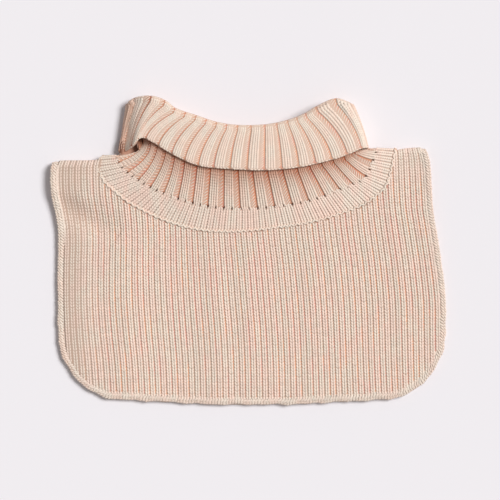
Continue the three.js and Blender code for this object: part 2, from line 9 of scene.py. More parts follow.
import bpy
import numpy as np
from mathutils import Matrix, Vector


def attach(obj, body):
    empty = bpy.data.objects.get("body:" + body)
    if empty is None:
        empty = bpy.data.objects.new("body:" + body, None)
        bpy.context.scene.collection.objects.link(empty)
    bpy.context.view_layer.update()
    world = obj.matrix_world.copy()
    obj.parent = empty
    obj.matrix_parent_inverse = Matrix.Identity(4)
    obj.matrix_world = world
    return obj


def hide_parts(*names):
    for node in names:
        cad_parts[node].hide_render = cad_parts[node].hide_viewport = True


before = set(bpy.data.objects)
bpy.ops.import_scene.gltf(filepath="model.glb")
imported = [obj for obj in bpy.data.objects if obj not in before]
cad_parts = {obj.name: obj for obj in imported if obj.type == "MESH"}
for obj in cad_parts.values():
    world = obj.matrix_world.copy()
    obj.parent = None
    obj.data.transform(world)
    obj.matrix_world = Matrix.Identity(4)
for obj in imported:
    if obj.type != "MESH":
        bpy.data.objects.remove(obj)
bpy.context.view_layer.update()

MM = 0.001
RNG = np.random.default_rng(7)

# Cloth
WALL = 2.6  # thickness of the knitted cloth at the top of its ribs
FOLD_THINNING = 1.2  # how much thinner it is where the collar is folded flat
FOLD_ROUNDING = 2  # how blunt that fold is
GAP = 0.3  # left free where two pieces meet
LOWEST = 0.05  # no ground cloth comes lower than this above the floor

# Collar
COLLAR_RIBS = 38
FRONT_RIBS = 19  # ribs 0 to 19 are the front layer
NECK_SUNK = 0.37  # how far the cloth lies below the tops of its stitches
CUFF_SUNK = 0.13
NECK_FURROW = 0.36  # how much deeper the furrows are
CUFF_FURROW = 0.14
FIRST_LEG_SUNK = 0.06  # how much lower the stitches beside a furrow lie
ROLL_RADIUS = 2.1  # of the roll at the top, to the middle of its cloth
ROLL_LENGTH = 2.9
EDGE_ROUND = 1.0  # how far the cuff's edge is rounded
CUFF_FALL = 1.3  # 1 where the cuff comes down evenly, more where it does so late
CUFF_SWEEP = 0.16  # how far ahead its ribs run sideways
COLLAR_COURSE = 1.65  # height of one row of stitches
NECK_HATCH = 2.05  # and of one slanted stitch
CUFF_HATCH = 1.8
SHADE_REACH = 8.5  # how far below the cuff its shade fades out
NECK_SHADE = 0.78  # how strong that shade is
NECK_FURROW_SHADE = 0.25
# how strong the dark painted shade in the neck's open eyelets is
NECK_EYELET_DARK_SHADE = 0.75
CUFF_SHADE_STRENGTH = 0.6  # and the shade on the cuff's left end
END_FURROW_DARK_SHADE = 0.8  # how dark a painted shade the furrows take there, beside the roll
END_FURROW_REACH = 16
END_FURROW_RIBS = 3
SIDE_FURROW_SHADE = 0.8  # how strong the shade in the cuff's furrows is at the left end
SIDE_FURROW_RIBS = 12  # and over how many ribs it fades out

# Band
BAND_PITCH = 4.15  # width of a column of stitches
BAND_SUNK = 0.21
BAND_FURROW = 0.12
# how strong the painted shade between the band's columns is
BAND_FURROW_SHADE = 0.5
BAND_WIDTH = 15
BAND_ROWS = 9  # stitches from the seam to the eyelets
BAND_FIRST_ROW = 0.02  # where its rows begin and how far they go, in shares of its width
BAND_ROW_SPAN = 0.965
BAND_LEG = (0.85, 0.61, 0.31)  # parts of a row and of half a column, and half height
BAND_LEG_ASIDE = 0.225  # a leg's place beside its column's middle, as a part of the column
BAND_LEG_SUNK = 0.35
BAND_LEG_LEAN = 17  # in degrees

# Bib
BIB_RIB_PITCH = 4.12
BIB_RIBS = 66
BIB_SUNK = 0.43
BIB_FURROW = 0.2
BACK_FURROW = 0.5
BIB_COURSE = 2.09  # height of one row of stitches
BIB_LEG = (1.42, 0.93, 0.5)  # half length, half width and half height of a stitch's leg
CALM_LEG = (0, 0.17, -0.08)  # what is added to them where the furrows fade out
BIB_LEG_ASIDE = 0.21  # its place beside the rib's middle, as a part of the rib
BIB_LEG_SUNK = 0.45
LEFT_EDGE_SHADE = 0.5  # how much deeper in tone the stitches are at the left edge: painted shade, as it looks away from the light
BIB_LEG_LEAN = 20  # in degrees
BOTTOM_TUCK = 1.3  # how far the first stitches go under the hem
TOP_MARGIN = 0.9  # left free above the last ones
FIRST_RIB_X = -133.5
DRIFT_LEVEL = -35.5  # the height at which the ribs stand evenly
FRONT_LEVEL = 5.9  # height of the front panel's face, low down
LEFT_EDGE = -138.2
RIGHT_EDGE = 142.9
CORNER_WIDTH = 44.5
CORNER_HEIGHT = 52
BOTTOM_EDGE = -107.5
BOTTOM_SAG = 4.1
HEM_WIDTH = 4.4
HEM_PROUD = 0.4  # how far it stands over the panel
HEM_TONGUE = 1.5  # how much further it goes under the panel
HEM_OVERLAP = 0.7  # how far the panel's cloth goes under its hem
RIM_DROP = 1.2  # how much lower the front panel is at its rim than inside it
RIM_SLOPE = 24
RIM_TOP = 30  # above this height the rim isn't lowered, and the shoulders stand up
RIM_TOP_FADE = 40
RIM_THINNING = 1.0  # how much thinner its cloth is there
BACK_RIM_DROP = 0.6  # how much lower the back panel is at its rim
HEM_STITCH = 1.04  # distance between points of the hem, which has a stitch at every second one
HEM_INSET = 0.2
HEM_WAVES = ((0.3, 4.1, 0), (0.25, 2.3, 1), (0.25, 9.7, 2))  # depth, length and start
WAVES_FROM = -30  # the hem is more uneven below this height
WAVES_REACH = 30
LEAST_WAVES = 0.25
CALM_LEFT_OF = -98  # left of this place the furrows fade out
CALM_WIDTH = 26
CALM_ABOVE = 48  # and above this height
CALM_RISE = 14
CALM_LEFT = 0.9  # how far they do so there
CALM_TOP = 0.7
CALM_RAISE = 0.6  # how far the ground comes up where they do
CALM_BARE = 0.12  # and how much of it shows plain, without painted shade
SOFT_FOLD_REACH = 1.2  # how far the valleys run past their ends, 1 being not at all
SOFT_FOLDS = [  # from, to, depth and half width of the valleys in the front panel
    ((-140, 38), (-98, 12), 3.0, 9),
    ((133, 40), (136, -8), 0.9, 4),
]

COLLAR_COLUMNS = (
    "rib fold_x fold_y cuff_x cuff_y neck_x neck_y base_x base_y seam_x seam_y "
    "lift cuff_lift sweep fold_lift neck_lift"
).split()
COLLAR_ROWS = [  # a lift is 1 on the front layer and -1 on the back one
    [0, -85.3, 107.5, -93.2, 69.8, -79.5, 69.8, -95.4, 69, -104.6, 68.6, 0.2, -0.25, 0.2, -0.05, -0.2],
    [1, -81.4, 110.7, -90, 71.5, -76.3, 78.5, -94, 63.3, -108, 61.5, 0.6, -0.25, 0.2, -0.15, 0.0],
    [2, -69.5, 111.4, -84.6, 75, -70.2, 77.6, -87.5, 56, -104.4, 51, 0.93, 0.2, 0.24, 0.8, 0.5],
    [3, -59.8, 108.2, -80.3, 80.1, -65.2, 74.3, -79.6, 50.6, -96.8, 43.7, 1, 0.75, 0.33, 0.97, 0.8],
    [4, -52.6, 102.8, -73.8, 80.5, -59.4, 69.7, -70.9, 45.5, -85.3, 34.7, 1, 0.95, 0.36, 1, 0.95],
    [6, -37.1, 97.4, -55.1, 69.4, -45.7, 62.8, -50.8, 37.3, -59.4, 22.1, 1, 1, 0.42, 1, 1],
    [8, -22.7, 92.7, -36, 61, -27, 58.9, -29.2, 31.9, -32.8, 15.3, 1, 1, 0.5, 1, 1],
    [10, -7.6, 90.5, -13, 58.5, -7.2, 56.3, -5.8, 30.1, -6.1, 14.6, 1, 1, 0.5, 1, 1],
    [12, 11.9, 90.9, 11.9, 57.6, 14, 56, 19.1, 31.7, 22, 17.5, 1, 1, 0.5, 1, 1],
    [14, 28.1, 94.1, 36.6, 59.8, 35.6, 57.4, 43.6, 35.8, 50, 22.5, 1, 1, 0.5, 1, 1],
    [16, 41, 99.2, 60.5, 65.3, 52.9, 61.7, 65.9, 44.1, 77.4, 31.5, 1, 1, 0.5, 1, 1],
    [17, 48.6, 103.9, 71.3, 68.9, 61.2, 63.9, 75.2, 48.1, 88.2, 37.6, 1, 1, 0.47, 1, 1],
    [18, 62.6, 109.6, 81.7, 73.3, 69.5, 66.3, 84.6, 53.8, 99, 48.1, 0.9, 0.85, 0.42, 0.9, 0.9],
    [19, 73, 105.7, 87, 73.6, 81.7, 73.5, 92.5, 74, 105.5, 73.4, 0.45, 0, 0.35, 0, 0],
    [20, 61.5, 108.3, 84, 68, 72, 68.5, 87, 60, 101, 55, -0.9, -0.85, 0.45, -0.9, -0.9],
    [22, 41, 97.8, 66, 60.5, 56, 61, 70, 46, 80, 33, -1, -1, 0.5, -1, -1],
    [25, 20.5, 91, 30, 57, 26, 56, 32, 33, 36, 18.5, -1, -1, 0.5, -1, -1],
    [28.5, -10, 89, -15, 56.5, -14, 55, -15, 30.5, -16, 13.8, -1, -1, 0.5, -1, -1],
    [32, -37.1, 95.8, -48, 58.5, -46, 61.5, -50.8, 37, -59, 21, -1, -1, 0.5, -1, -1],
    [34.5, -55.5, 104.3, -67, 61.5, -62, 70, -75, 48, -90, 38, -1, -1, 0.4, -1, -1],
    [36.5, -74.5, 110.3, -83, 64, -73, 77, -91, 57.5, -103.4, 55, -0.85, -1, 0.3, -0.9, -0.85],
]
RING_HEIGHTS = {  # front, back
    "base": (11.2, 2.8),
    "neck": (15.2, 4),
    "fold": (16.6, 3.3),
    "cuff": (18.6, 0.1),
}

PANEL_STATIONS = [-138, -103, -60, -8, 45, 95, 143]  # x of each
DRIFT_ROWS = [  # y, then the drift at each station
    [-111, 4, 5.6, 4.6, 3.6, 3.3, 3, 0.5],
    [-82, 2.2, 3.9, 3.5, 3.1, 2.4, 1.6, 0.5],
    [-58, 0.6, 1.5, 1.6, 1.9, 1.4, 0.9, 0.2],
    [-35.5, 0, 0, 0, 0, 0, 0, 0],
    [-10, 0, 0, -1, -2, -2.5, -2.3, -3],
    [6, 0.4, 0.3, -1.1, -3.5, -4.7, -4.5, -5.4],
    [18, -0.2, -0.2, -1.4, -4.4, -6.2, -6.2, -7.3],
    [30, -2.2, -1.6, -2, -5, -7.2, -7.6, -9.4],
    [42, -4.7, -3, -2.5, -5.5, -8, -8.7, -10.1],
    [60, -4.7, -3.3, -3, -6, -8.5, -9.1, -11.3],
    [66, -3, -2.2, -3, -6, -8.8, -8.9, -12],
    [74, -3, 0, -3, -6, -9, -8.2, -14.5],
]
RISE_ROWS = [  # y, then the rise above FRONT_LEVEL at each station
    [-111, 0, 0, 0, 0, 0, 0, 0],
    [-35.5, 0, 0, 0, 0, 0, 0, 0.5],
    [-10, 0, 0, 0.1, 0.5, 0.3, 0, 0.9],
    [6, 0, 0.1, 0.7, 1.4, 0.9, 0.2, 1.2],
    [18, 0.2, 0.5, 1.9, 2.4, 1.9, 0.7, 1.5],
    [30, 1.1, 1.9, 2.8, 2.8, 2.8, 1.6, 1.8],
    [42, 2.6, 3, 3, 3, 3, 2.2, 2],
    [74, 2.9, 3.3, 3, 3, 3, 2.4, 2],
]
SHOULDER_ROWS = [  # x, y
    [-145, 63.8],
    [-138, 65.2],
    [-112, 65.8],
    [-107, 67.8],
    [-101, 71.5],
    [101, 72],
    [112, 73.8],
    [124, 74.7],
    [130, 74],
    [135, 72.5],
]


# Curves and vectors

def unit(vectors):
    return vectors / np.linalg.norm(vectors, axis=-1, keepdims=True)


def mix(a, b, share):
    return a + (b - a) * share


def column(numbers):
    """One number for each point, ready to scale vectors."""
    return np.asarray(numbers, float)[..., None]


def apart(a, b):
    """How far each point is from its partner."""
    return np.linalg.norm(a - b, axis=-1)


def places_along(line):
    """How far along a line each of its points is."""
    return np.concatenate([[0], np.cumsum(apart(line[1:], line[:-1]))])


def smooth_curve(at, knots, values):
    """Reads a smooth curve through knots. values has one row for each knot, and its rows may
    hold one number, or one for each place that is read."""
    at = np.asarray(at, float)
    knots = np.asarray(knots, float)
    values = np.asarray(values, float)
    if values.ndim == 1:
        values = np.repeat(values[:, None], at.size, axis=1)
    last = len(knots) - 1
    here = np.clip(at, knots[0], knots[-1])
    i = np.clip(np.searchsorted(knots, here, side="right") - 1, 0, last - 1)
    order = np.arange(last + 1)
    before, after = np.maximum(order - 1, 0), np.minimum(order + 1, last)
    slopes = (values[after] - values[before]) / (knots[after] - knots[before])[:, None]
    span = knots[i + 1] - knots[i]
    t = (here - knots[i]) / span
    each = np.arange(at.size)
    a, b = values[i, each], values[i + 1, each]
    slope_a, slope_b = slopes[i, each] * span, slopes[i + 1, each] * span
    return (
        (2 * t**3 - 3 * t**2 + 1) * a
        + (t**3 - 2 * t**2 + t) * slope_a
        + (3 * t**2 - 2 * t**3) * b
        + (t**3 - t**2) * slope_b
    )


def closed_rows(rows, period):
    """Rows of a curve that closes on itself, repeated before and after."""
    rows = np.array(rows, float)
    shift = np.zeros(rows.shape[1])
    shift[0] = period
    return np.vstack([rows - shift, rows, rows + shift])


COLLAR_TABLE = closed_rows(COLLAR_ROWS, COLLAR_RIBS)


def collar_value(name, rib):
    """One of the collar's measures, named as in COLLAR_COLUMNS, at a rib."""
    return smooth_curve(rib, COLLAR_TABLE[:, 0], COLLAR_TABLE[:, COLLAR_COLUMNS.index(name)])


def across_panel(rows, x, y):
    """Reads a table of the panel, whose rows are heights and whose columns are stations."""
    rows = np.array(rows, float)
    levels = [smooth_curve(y, rows[:, 0], rows[:, k]) for k in range(1, rows.shape[1])]
    return smooth_curve(x, PANEL_STATIONS, np.array(levels))


def drift(x, y):
    """How far the bib's ribs lie to the right of where they would stand evenly."""
    return across_panel(DRIFT_ROWS, x, y)


def front_height(x, y):
    """Height of the front panel's face before it thins and folds."""
    return FRONT_LEVEL + across_panel(RISE_ROWS, x, y)


def rim_distance(x, y):
    """How far a place on the bib is from its rim, below the shoulders."""
    corner_y = BOTTOM_EDGE + CORNER_HEIGHT
    left, right = LEFT_EDGE + CORNER_WIDTH, RIGHT_EDGE - CORNER_WIDTH
    sides = np.minimum(x - LEFT_EDGE, RIGHT_EDGE - x)
    bottom = y - BOTTOM_EDGE + BOTTOM_SAG * np.sin(math.pi * np.clip((x - left) / (right - left), 0, 1))
    past = np.maximum(np.maximum(left - x, x - right), 0) / CORNER_WIDTH
    below = np.maximum(corner_y - y, 0) / CORNER_HEIGHT
    corner = (1 - np.hypot(past, below)) * (CORNER_WIDTH + CORNER_HEIGHT) / 2
    return np.clip(np.where((past > 0) & (below > 0), corner, np.minimum(sides, bottom)), 0, None)


def rim_share(x, y):
    """1 at the rim, 0 inside it and on the raised shoulders."""
    near = np.clip(1 - rim_distance(x, y) / RIM_SLOPE, 0, 1) ** 2
    return near * np.clip((RIM_TOP - y) / RIM_TOP_FADE, 0, 1)


def front_top(x, y):
    """Height of the front panel's face: it thins towards its rim, and has two soft folds."""
    height = front_height(x, y) - RIM_DROP * rim_share(x, y)
    for (x0, y0), (x1, y1), depth, width in SOFT_FOLDS:
        length = math.hypot(x1 - x0, y1 - y0)
        along = ((x - x0) * (x1 - x0) + (y - y0) * (y1 - y0)) / length**2
        off = ((x - x0) * (y1 - y0) - (y - y0) * (x1 - x0)) / length
        ends = np.clip(SOFT_FOLD_REACH - np.abs(2 * along - 1), 0, 1) ** 0.5
        height = height - depth * ends * np.exp(-((off / width) ** 2))
    return height


def leftward(x):
    """0 inside the panel, 1 near its left edge, which looks away from the light."""
    return np.clip((CALM_LEFT_OF - x) / CALM_WIDTH, 0, 1)


def calm(x, y):
    """How far the furrows fade out: towards the left edge and over the shoulders."""
    top = np.clip((y - CALM_ABOVE) / CALM_RISE, 0, 1)
    return 1 - (1 - CALM_LEFT * leftward(x)) * (1 - CALM_TOP * top)


def shoulder_line(x):
    """How high up the shoulder's fold is."""
    rows = np.array(SHOULDER_ROWS, float)
    return smooth_curve(x, rows[:, 0], rows[:, 1])


def shoulder_radius(x):
    """Radius of the roll at the shoulder's fold."""
    return front_height(x, shoulder_line(x)) / 2


# The collar's rings

def lift_of(name, rib):
    """1 on the collar's front layer and -1 on its back one, with a blunt fold between them."""
    lift = np.clip(collar_value(name, rib), -1, 1)
    return np.sign(lift) * (1 - (1 - np.abs(lift)) ** FOLD_ROUNDING)


RING_LIFTS = {"cuff": "cuff_lift", "fold": "fold_lift", "neck": "neck_lift"}  # others: lift


def ring_point(ring, rib):
    """A point of one of the rings that shape the collar: seam, base, neck, fold or cuff."""
    x, y = collar_value(ring + "_x", rib), collar_value(ring + "_y", rib)
    share = (1 + lift_of(RING_LIFTS.get(ring, "lift"), rib)) / 2
    if ring == "seam":
        z = share * front_height(x, y)
    else:
        front, back = RING_HEIGHTS[ring]
        z = mix(back, front, share)
    return np.stack([x, y, z], axis=-1)


RUNS = {  # the cloth at each ring runs from one ring to another
    "seam": ("seam", "base"),
    "base": ("seam", "neck"),
    "neck": ("base", "fold"),
    "fold": ("neck", "fold"),
    "cuff": ("cuff", "fold"),
}


def ring_run(ring, rib):
    """The direction in which the cloth runs on from a ring."""
    start, end = RUNS[ring]
    return unit(ring_point(end, rib) - ring_point(start, rib))


def ring_normal(ring, rib):
    step = 0.25
    tangent = ring_point(ring, rib + step) - ring_point(ring, rib - step)
    return unit(np.cross(tangent, ring_run(ring, rib)))


def wall_at(rib):
    """How thick the collar's cloth is at a rib."""
    return WALL - FOLD_THINNING * (1 - np.abs(lift_of("lift", rib)))


def ring_middle(ring, rib):
    return ring_point(ring, rib) - ring_normal(ring, rib) * column(wall_at(rib) / 2)


def swept(start, end, t, share, fall=1):
    """A point on the way between two rings, whose sideways run is ahead or behind."""
    sideways = t + 4 * (share - 0.5) * t * (1 - t)
    return np.stack([
        mix(start[:, 0], end[:, 0], sideways),
        mix(start[:, 1], end[:, 1], t),
        mix(start[:, 2], end[:, 2], t**fall),
    ], axis=-1)


NECK_STEPS = 5
ROLL_STEPS = 8
CUFF_STEPS = 6


def collar_keys(rib):
    """Points of the middle of the collar's cloth on each rib: up the neck, over the roll and
    down the cuff."""
    base, neck, edge = (ring_middle(ring, rib) for ring in ("base", "neck", "cuff"))
    lift = np.abs(collar_value("lift", rib))
    sweep = collar_value("sweep", rib)
    outward = ring_normal("fold", rib)
    fold = ring_point("fold", rib)
    upward = unit(fold - neck)
    fold = fold - upward * column(wall_at(rib) / 2 + ROLL_LENGTH)
    base = base + ring_run("base", rib) * GAP
    keys = [swept(neck, base, 1 - i / NECK_STEPS, sweep) for i in range(NECK_STEPS + 1)]
    for i in range(ROLL_STEPS + 1):
        angle = math.pi * i / ROLL_STEPS
        over = upward * (ROLL_LENGTH * math.sin(angle))
        keys.append(fold + over - outward * (ROLL_RADIUS * math.cos(angle)))
    top = keys[-1]
    edge = edge - unit(edge - top) * EDGE_ROUND
    share = 0.5 + CUFF_SWEEP * lift
    keys += [swept(top, edge, i / CUFF_STEPS, share, CUFF_FALL) for i in range(1, CUFF_STEPS + 1)]
    return np.array(keys)


NECK_KEY = NECK_STEPS
ROLL_START_KEY = NECK_STEPS + 1
ROLL_END_KEY = ROLL_START_KEY + ROLL_STEPS


def collar_grid(samples_per_rib, places):
    """The middle of the collar's cloth as a grid: round the collar, then at each place along
    it. Places run with the mean length of the ribs, in millimetres."""
    rib = np.arange(COLLAR_RIBS * samples_per_rib) / samples_per_rib
    keys = collar_keys(rib)
    grid = np.empty((len(rib), len(places), 3))
    for j, place in enumerate(places):
        at = np.full(len(rib), place)
        for axis in range(3):
            grid[:, j, axis] = smooth_curve(at, COLLAR_PLACES, keys[:, :, axis])
    return rib, grid


def key_places():
    keys = collar_keys(np.arange(COLLAR_RIBS * 4) / 4)
    steps = apart(keys[1:], keys[:-1]).mean(axis=1)
    return np.concatenate([[0], np.cumsum(steps)])


COLLAR_PLACES = key_places()
COLLAR_LENGTH = COLLAR_PLACES[-1]
NECK_PLACE = COLLAR_PLACES[NECK_KEY]
ROLL_START = COLLAR_PLACES[ROLL_START_KEY]
ROLL_TOP = COLLAR_PLACES[ROLL_START_KEY + ROLL_STEPS // 2]
ROLL_END = COLLAR_PLACES[ROLL_END_KEY]


def grid_normals(grid):
    round_it = np.roll(grid, -1, axis=0) - np.roll(grid, 1, axis=0)
    along_it = np.gradient(grid, axis=1)
    return unit(np.cross(round_it, along_it))


def neck_count(rib):
    """The neck's ribs, counted on it: at its right end, where they fan out, one rib of the
    cuff meets two of them."""
    rib = np.mod(rib, COLLAR_RIBS)
    return rib + np.clip(rib - (FRONT_RIBS - 1), 0, 1)


LEFT_FLANK = 0.1  # the part of a rib that its steep left side takes
RIGHT_FLANK = 0.5


def rib_profile(rib):
    """How deep the collar's cloth lies at a rib, 1 being the bottom of the furrow: steep on a
    rib's left side and gentle on its right one."""
    phase = np.mod(rib, 1)
    left = np.clip(1 - phase / LEFT_FLANK, 0, 1) ** 1.5
    right = np.clip(1 - (1 - phase) / RIGHT_FLANK, 0, 1) ** 2
    return np.maximum(left, right)


class CollarFace:
    """A face of the collar, read at any rib and place. side is 1 for the neck's outer face
    and -1 for the cuff's."""

    samples_per_rib = 12
    spacing = 0.5
    steps = (0.12, 0.7)

    def __init__(self, side):
        count = int(COLLAR_LENGTH / self.spacing)
        self.places = np.linspace(0, COLLAR_LENGTH, count)
        rib, middle = collar_grid(self.samples_per_rib, self.places)
        half = column(column(wall_at(rib) / 2))
        self.grid = middle + side * half * grid_normals(middle)

    def points(self, rib, place):
        across = np.mod(rib, COLLAR_RIBS) * self.samples_per_rib
        along = np.clip(place / COLLAR_LENGTH, 0, 1) * (len(self.places) - 1)
        i, j = np.floor(across).astype(int), np.floor(along).astype(int)
        j = np.minimum(j, len(self.places) - 2)
        s, t = column(across - i), column(along - j)
        count = len(self.grid)
        i, after = i % count, (i + 1) % count
        lower = mix(self.grid[i, j], self.grid[after, j], s)
        upper = mix(self.grid[i, j + 1], self.grid[after, j + 1], s)
        return mix(lower, upper, t)


# The bib's outline and faces

def side_edge(side, y):
    """x of the bib's left or right edge at a height."""
    edge = LEFT_EDGE if side < 0 else RIGHT_EDGE
    y = np.asarray(y, float)
    return edge + np.where(y > DRIFT_LEVEL, drift(np.full(y.shape, edge), y), 0)


def lower_outline(inset, corner_steps=24, bottom_steps=60):
    """The bib's lower edge from left to right, drawn in by inset: its points, and which way
    the edge looks out."""
    corner_y = BOTTOM_EDGE + CORNER_HEIGHT
    left, right = LEFT_EDGE + CORNER_WIDTH, RIGHT_EDGE - CORNER_WIDTH
    angle = np.linspace(0, math.pi / 2, corner_steps + 1)
    s, c = np.sin(angle), np.cos(angle)

    def corner(centre, side):
        points = np.stack([centre + side * CORNER_WIDTH * c, corner_y - CORNER_HEIGHT * s], axis=-1)
        return points, np.stack([side * CORNER_HEIGHT * c, -CORNER_WIDTH * s], axis=-1)

    t = np.linspace(0, 1, bottom_steps + 1)[1:-1]
    slope = -BOTTOM_SAG * math.pi * np.cos(math.pi * t) / (right - left)
    bottom = np.stack([mix(left, right, t), BOTTOM_EDGE - BOTTOM_SAG * np.sin(math.pi * t)], axis=-1)
    bottom_out = np.stack([slope, np.full(len(t), -1.0)], axis=-1)
    left_points, left_out = corner(left, -1)
    right_points, right_out = corner(right, 1)
    points = np.vstack([left_points, bottom, right_points[::-1]])
    out = unit(np.vstack([left_out, bottom_out, right_out[::-1]]))
    return points - out * inset, out


def neckline(first_rib, last_rib, clear):
    """The panel's edge under the neck seam, from left to right."""
    rib = np.linspace(first_rib, last_rib, int(abs(last_rib - first_rib) * 4) + 1)
    middle = ring_point("seam", rib)[:, :2]
    along = unit(ring_point("seam", rib + 0.1)[:, :2] - ring_point("seam", rib - 0.1)[:, :2])
    away = np.stack([along[:, 1], -along[:, 0]], axis=-1)
    inwards = ring_point("base", rib)[:, :2] - middle
    away *= column(np.where((away * inwards).sum(axis=1) > 0, -1, 1))
    return middle + away * clear


class Panel:
    """One panel of the bib. Its place is read at a rib, furrows being whole numbers, and at a
    height up it, which goes on over the shoulder's roll."""

    steps = (0.1, 0.7)
    halvings = 24
    neck_floor = -30  # no neckline comes down this far

    def __init__(self, neck_ribs, rolled):
        self.neck = neckline(*neck_ribs, clear=GAP)
        self.rolled = rolled
        self.tip_heights = self.neck[0, 1], self.neck[-1, 1]
        self.lower_edge = lower_outline(HEM_WIDTH - HEM_OVERLAP)[0]

    def x_at(self, rib, y):
        x = FIRST_RIB_X + np.asarray(rib, float) * BIB_RIB_PITCH
        return x + drift(x, y)

    def tip_height(self, rib):
        return np.where(rib < BIB_RIBS / 2, *self.tip_heights)

    def shoulder(self, rib):
        x = self.x_at(rib, self.tip_height(rib))
        radius = shoulder_radius(x)
        return radius, shoulder_line(x) - radius

    def end(self, rib):
        """Where a rib ends over the shoulder."""
        radius, start = self.shoulder(rib)
        return start + (math.pi * radius if self.rolled else -GAP)

    def crossing(self, rib, line, low, high):
        """The height at which a rib crosses a line that runs from left to right."""
        low, high = np.full(rib.shape, float(low)), np.full(rib.shape, float(high))
        for _ in range(self.halvings):
            middle = (low + high) / 2
            above = middle > np.interp(self.x_at(rib, middle), line[:, 0], line[:, 1])
            low, high = np.where(above, low, middle), np.where(above, middle, high)
        return (low + high) / 2

    def bottom(self, rib):
        return self.crossing(rib, self.lower_edge, BOTTOM_EDGE - 2 * BOTTOM_SAG, DRIFT_LEVEL)

    def top(self, rib):
        """Where a rib ends at the neck, or at the level of the neck's tip beside it."""
        height = self.tip_height(rib)
        x = self.x_at(rib, height)
        inside = (x > self.neck[0, 0]) & (x < self.neck[-1, 0])
        at_neck = self.crossing(rib, self.neck, self.neck_floor, max(self.tip_heights))
        return np.where(inside, at_neck, height)

    def beside_neck(self, rib):
        x = self.x_at(rib, self.tip_height(rib))
        return (x <= self.neck[0, 0]) | (x >= self.neck[-1, 0])


class FrontPanel(Panel):
    def points(self, rib, height):
        radius, start = self.shoulder(rib)
        angle = np.clip((height - start) / radius, 0, math.pi)
        y = np.where(angle > 0, start + radius * np.sin(angle), height)
        x = self.x_at(rib, y)
        z = np.where(angle > 0, radius + radius * np.cos(angle), front_top(x, y))
        return np.stack([x, y, z], axis=-1)


def face_frame(face, across, along):
    """Points of a face with its two tangents and its normal, which looks out. face.steps says
    how far to each side of a point its tangents are measured."""
    step_across, step_along = face.steps
    p = face.points(across, along)
    side = face.points(across + step_across, along) - face.points(across - step_across, along)
    up = face.points(across, along + step_along) - face.points(across, along - step_along)
    normal = unit(np.cross(side, up))
    return p, unit(side), unit(up), normal


# Meshes

def new_piece(name, points, face_groups, material, attributes):
    """A piece from points in millimetres and groups of faces, each a table of corners."""
    mesh = bpy.data.meshes.new(name)
    mesh.vertices.add(len(points))
    mesh.vertices.foreach_set("co", (points * MM).astype(np.float32).ravel())
    corners = np.concatenate([group.ravel() for group in face_groups])
    sizes = np.concatenate([np.full(len(group), group.shape[1]) for group in face_groups])
    mesh.loops.add(len(corners))
    mesh.loops.foreach_set("vertex_index", corners.astype(np.int32))
    mesh.polygons.add(len(sizes))
    mesh.polygons.foreach_set("loop_start", (np.cumsum(sizes) - sizes).astype(np.int32))
    mesh.update(calc_edges=True)
    mesh.validate()
    mesh.shade_smooth()
    for key, values in attributes.items():
        layer = mesh.attributes.new(key, "FLOAT", "POINT")
        layer.data.foreach_set("value", np.asarray(values, np.float32))
    mesh.materials.append(material)
    piece = bpy.data.objects.new(name, mesh)
    bpy.context.collection.objects.link(piece)
    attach(piece, "root")
    return piece


def ring_faces(around, along):
    """Quads of a ring whose sections are closed profiles."""
    i, k = np.meshgrid(np.arange(around), np.arange(along), indexing="ij")
    j, n = (i + 1) % around, (k + 1) % along
    quads = [i * along + k, j * along + k, j * along + n, i * along + n]
    return np.stack(quads, axis=-1).reshape(-1, 4)


def grain_template(sides=5, stations=(-0.68, 0, 0.68)):
    """One leg of a stitch, a grain with pointed ends: its corners as shares of its length,
    width and height, and its triangles."""
    corners = []
    for u in stations:
        girth = (1 - abs(u) ** 3) ** 0.5
        for k in range(sides):
            angle = 2 * math.pi * k / sides
            corners.append((u, girth * math.sin(angle), girth * math.cos(angle)))
    corners += [(-1, 0, 0), (1, 0, 0)]
    start, end = len(corners) - 2, len(corners) - 1
    triangles = []
    last = (len(stations) - 1) * sides
    for k in range(sides):
        n = (k + 1) % sides
        for ring in range(0, last, sides):
            above = ring + sides
            triangles += [(ring + k, above + k, above + n), (ring + k, above + n, ring + n)]
        triangles += [(start, k, n), (end, last + n, last + k)]
    corners, triangles = np.array(corners), np.array(triangles)
    a, b, c = (corners[triangles[:, k]] for k in range(3))
    if (a * np.cross(b, c)).sum() < 0:
        triangles = triangles[:, ::-1]
    return corners, triangles


GRAIN = grain_template()


def grains(centre, along, normal, half_length, half_width, half_height, tone, sag=0, shade=0):
    """Grains of yarn as one set of points, triangles and attributes. sag is how far their
    ends bend down, and shade how far they lie in the cuff's shade."""
    corners, triangles = GRAIN
    along = unit(along)
    side = unit(np.cross(normal, along))
    up = np.cross(along, side)
    count = len(centre)
    sizes = [
        np.broadcast_to(np.asarray(size, float), (count,))
        for size in (half_length, half_width, half_height)
    ]
    sag = np.broadcast_to(np.asarray(sag, float), (count,))
    points = centre[:, None, :] + sum(
        corners[None, :, k, None] * (sizes[k][:, None] * axis)[:, None, :]
        for k, axis in enumerate((along, side, up))
    )
    points -= (corners[None, :, 0, None] ** 2) * (sag[:, None] * up)[:, None, :]
    faces = triangles[None] + (np.arange(count) * len(corners))[:, None, None]
    attributes = {
        "tone": np.repeat(np.broadcast_to(tone, (count,)), len(corners)),
        # sunk: how low on its grain a point lies, which the yarn's painted shade follows
        "sunk": np.tile((1 - corners[:, 2]) / 2, count),
        "shade": np.repeat(np.broadcast_to(shade, (count,)), len(corners)),
    }
    return points.reshape(-1, 3), faces.reshape(-1, 3), attributes


def tones(count, middle=0.5, spread=0.2):
    """How pale each of some stitches is, from 0 to 1."""
    return np.clip(middle + RNG.normal(0, spread, count), 0, 1)


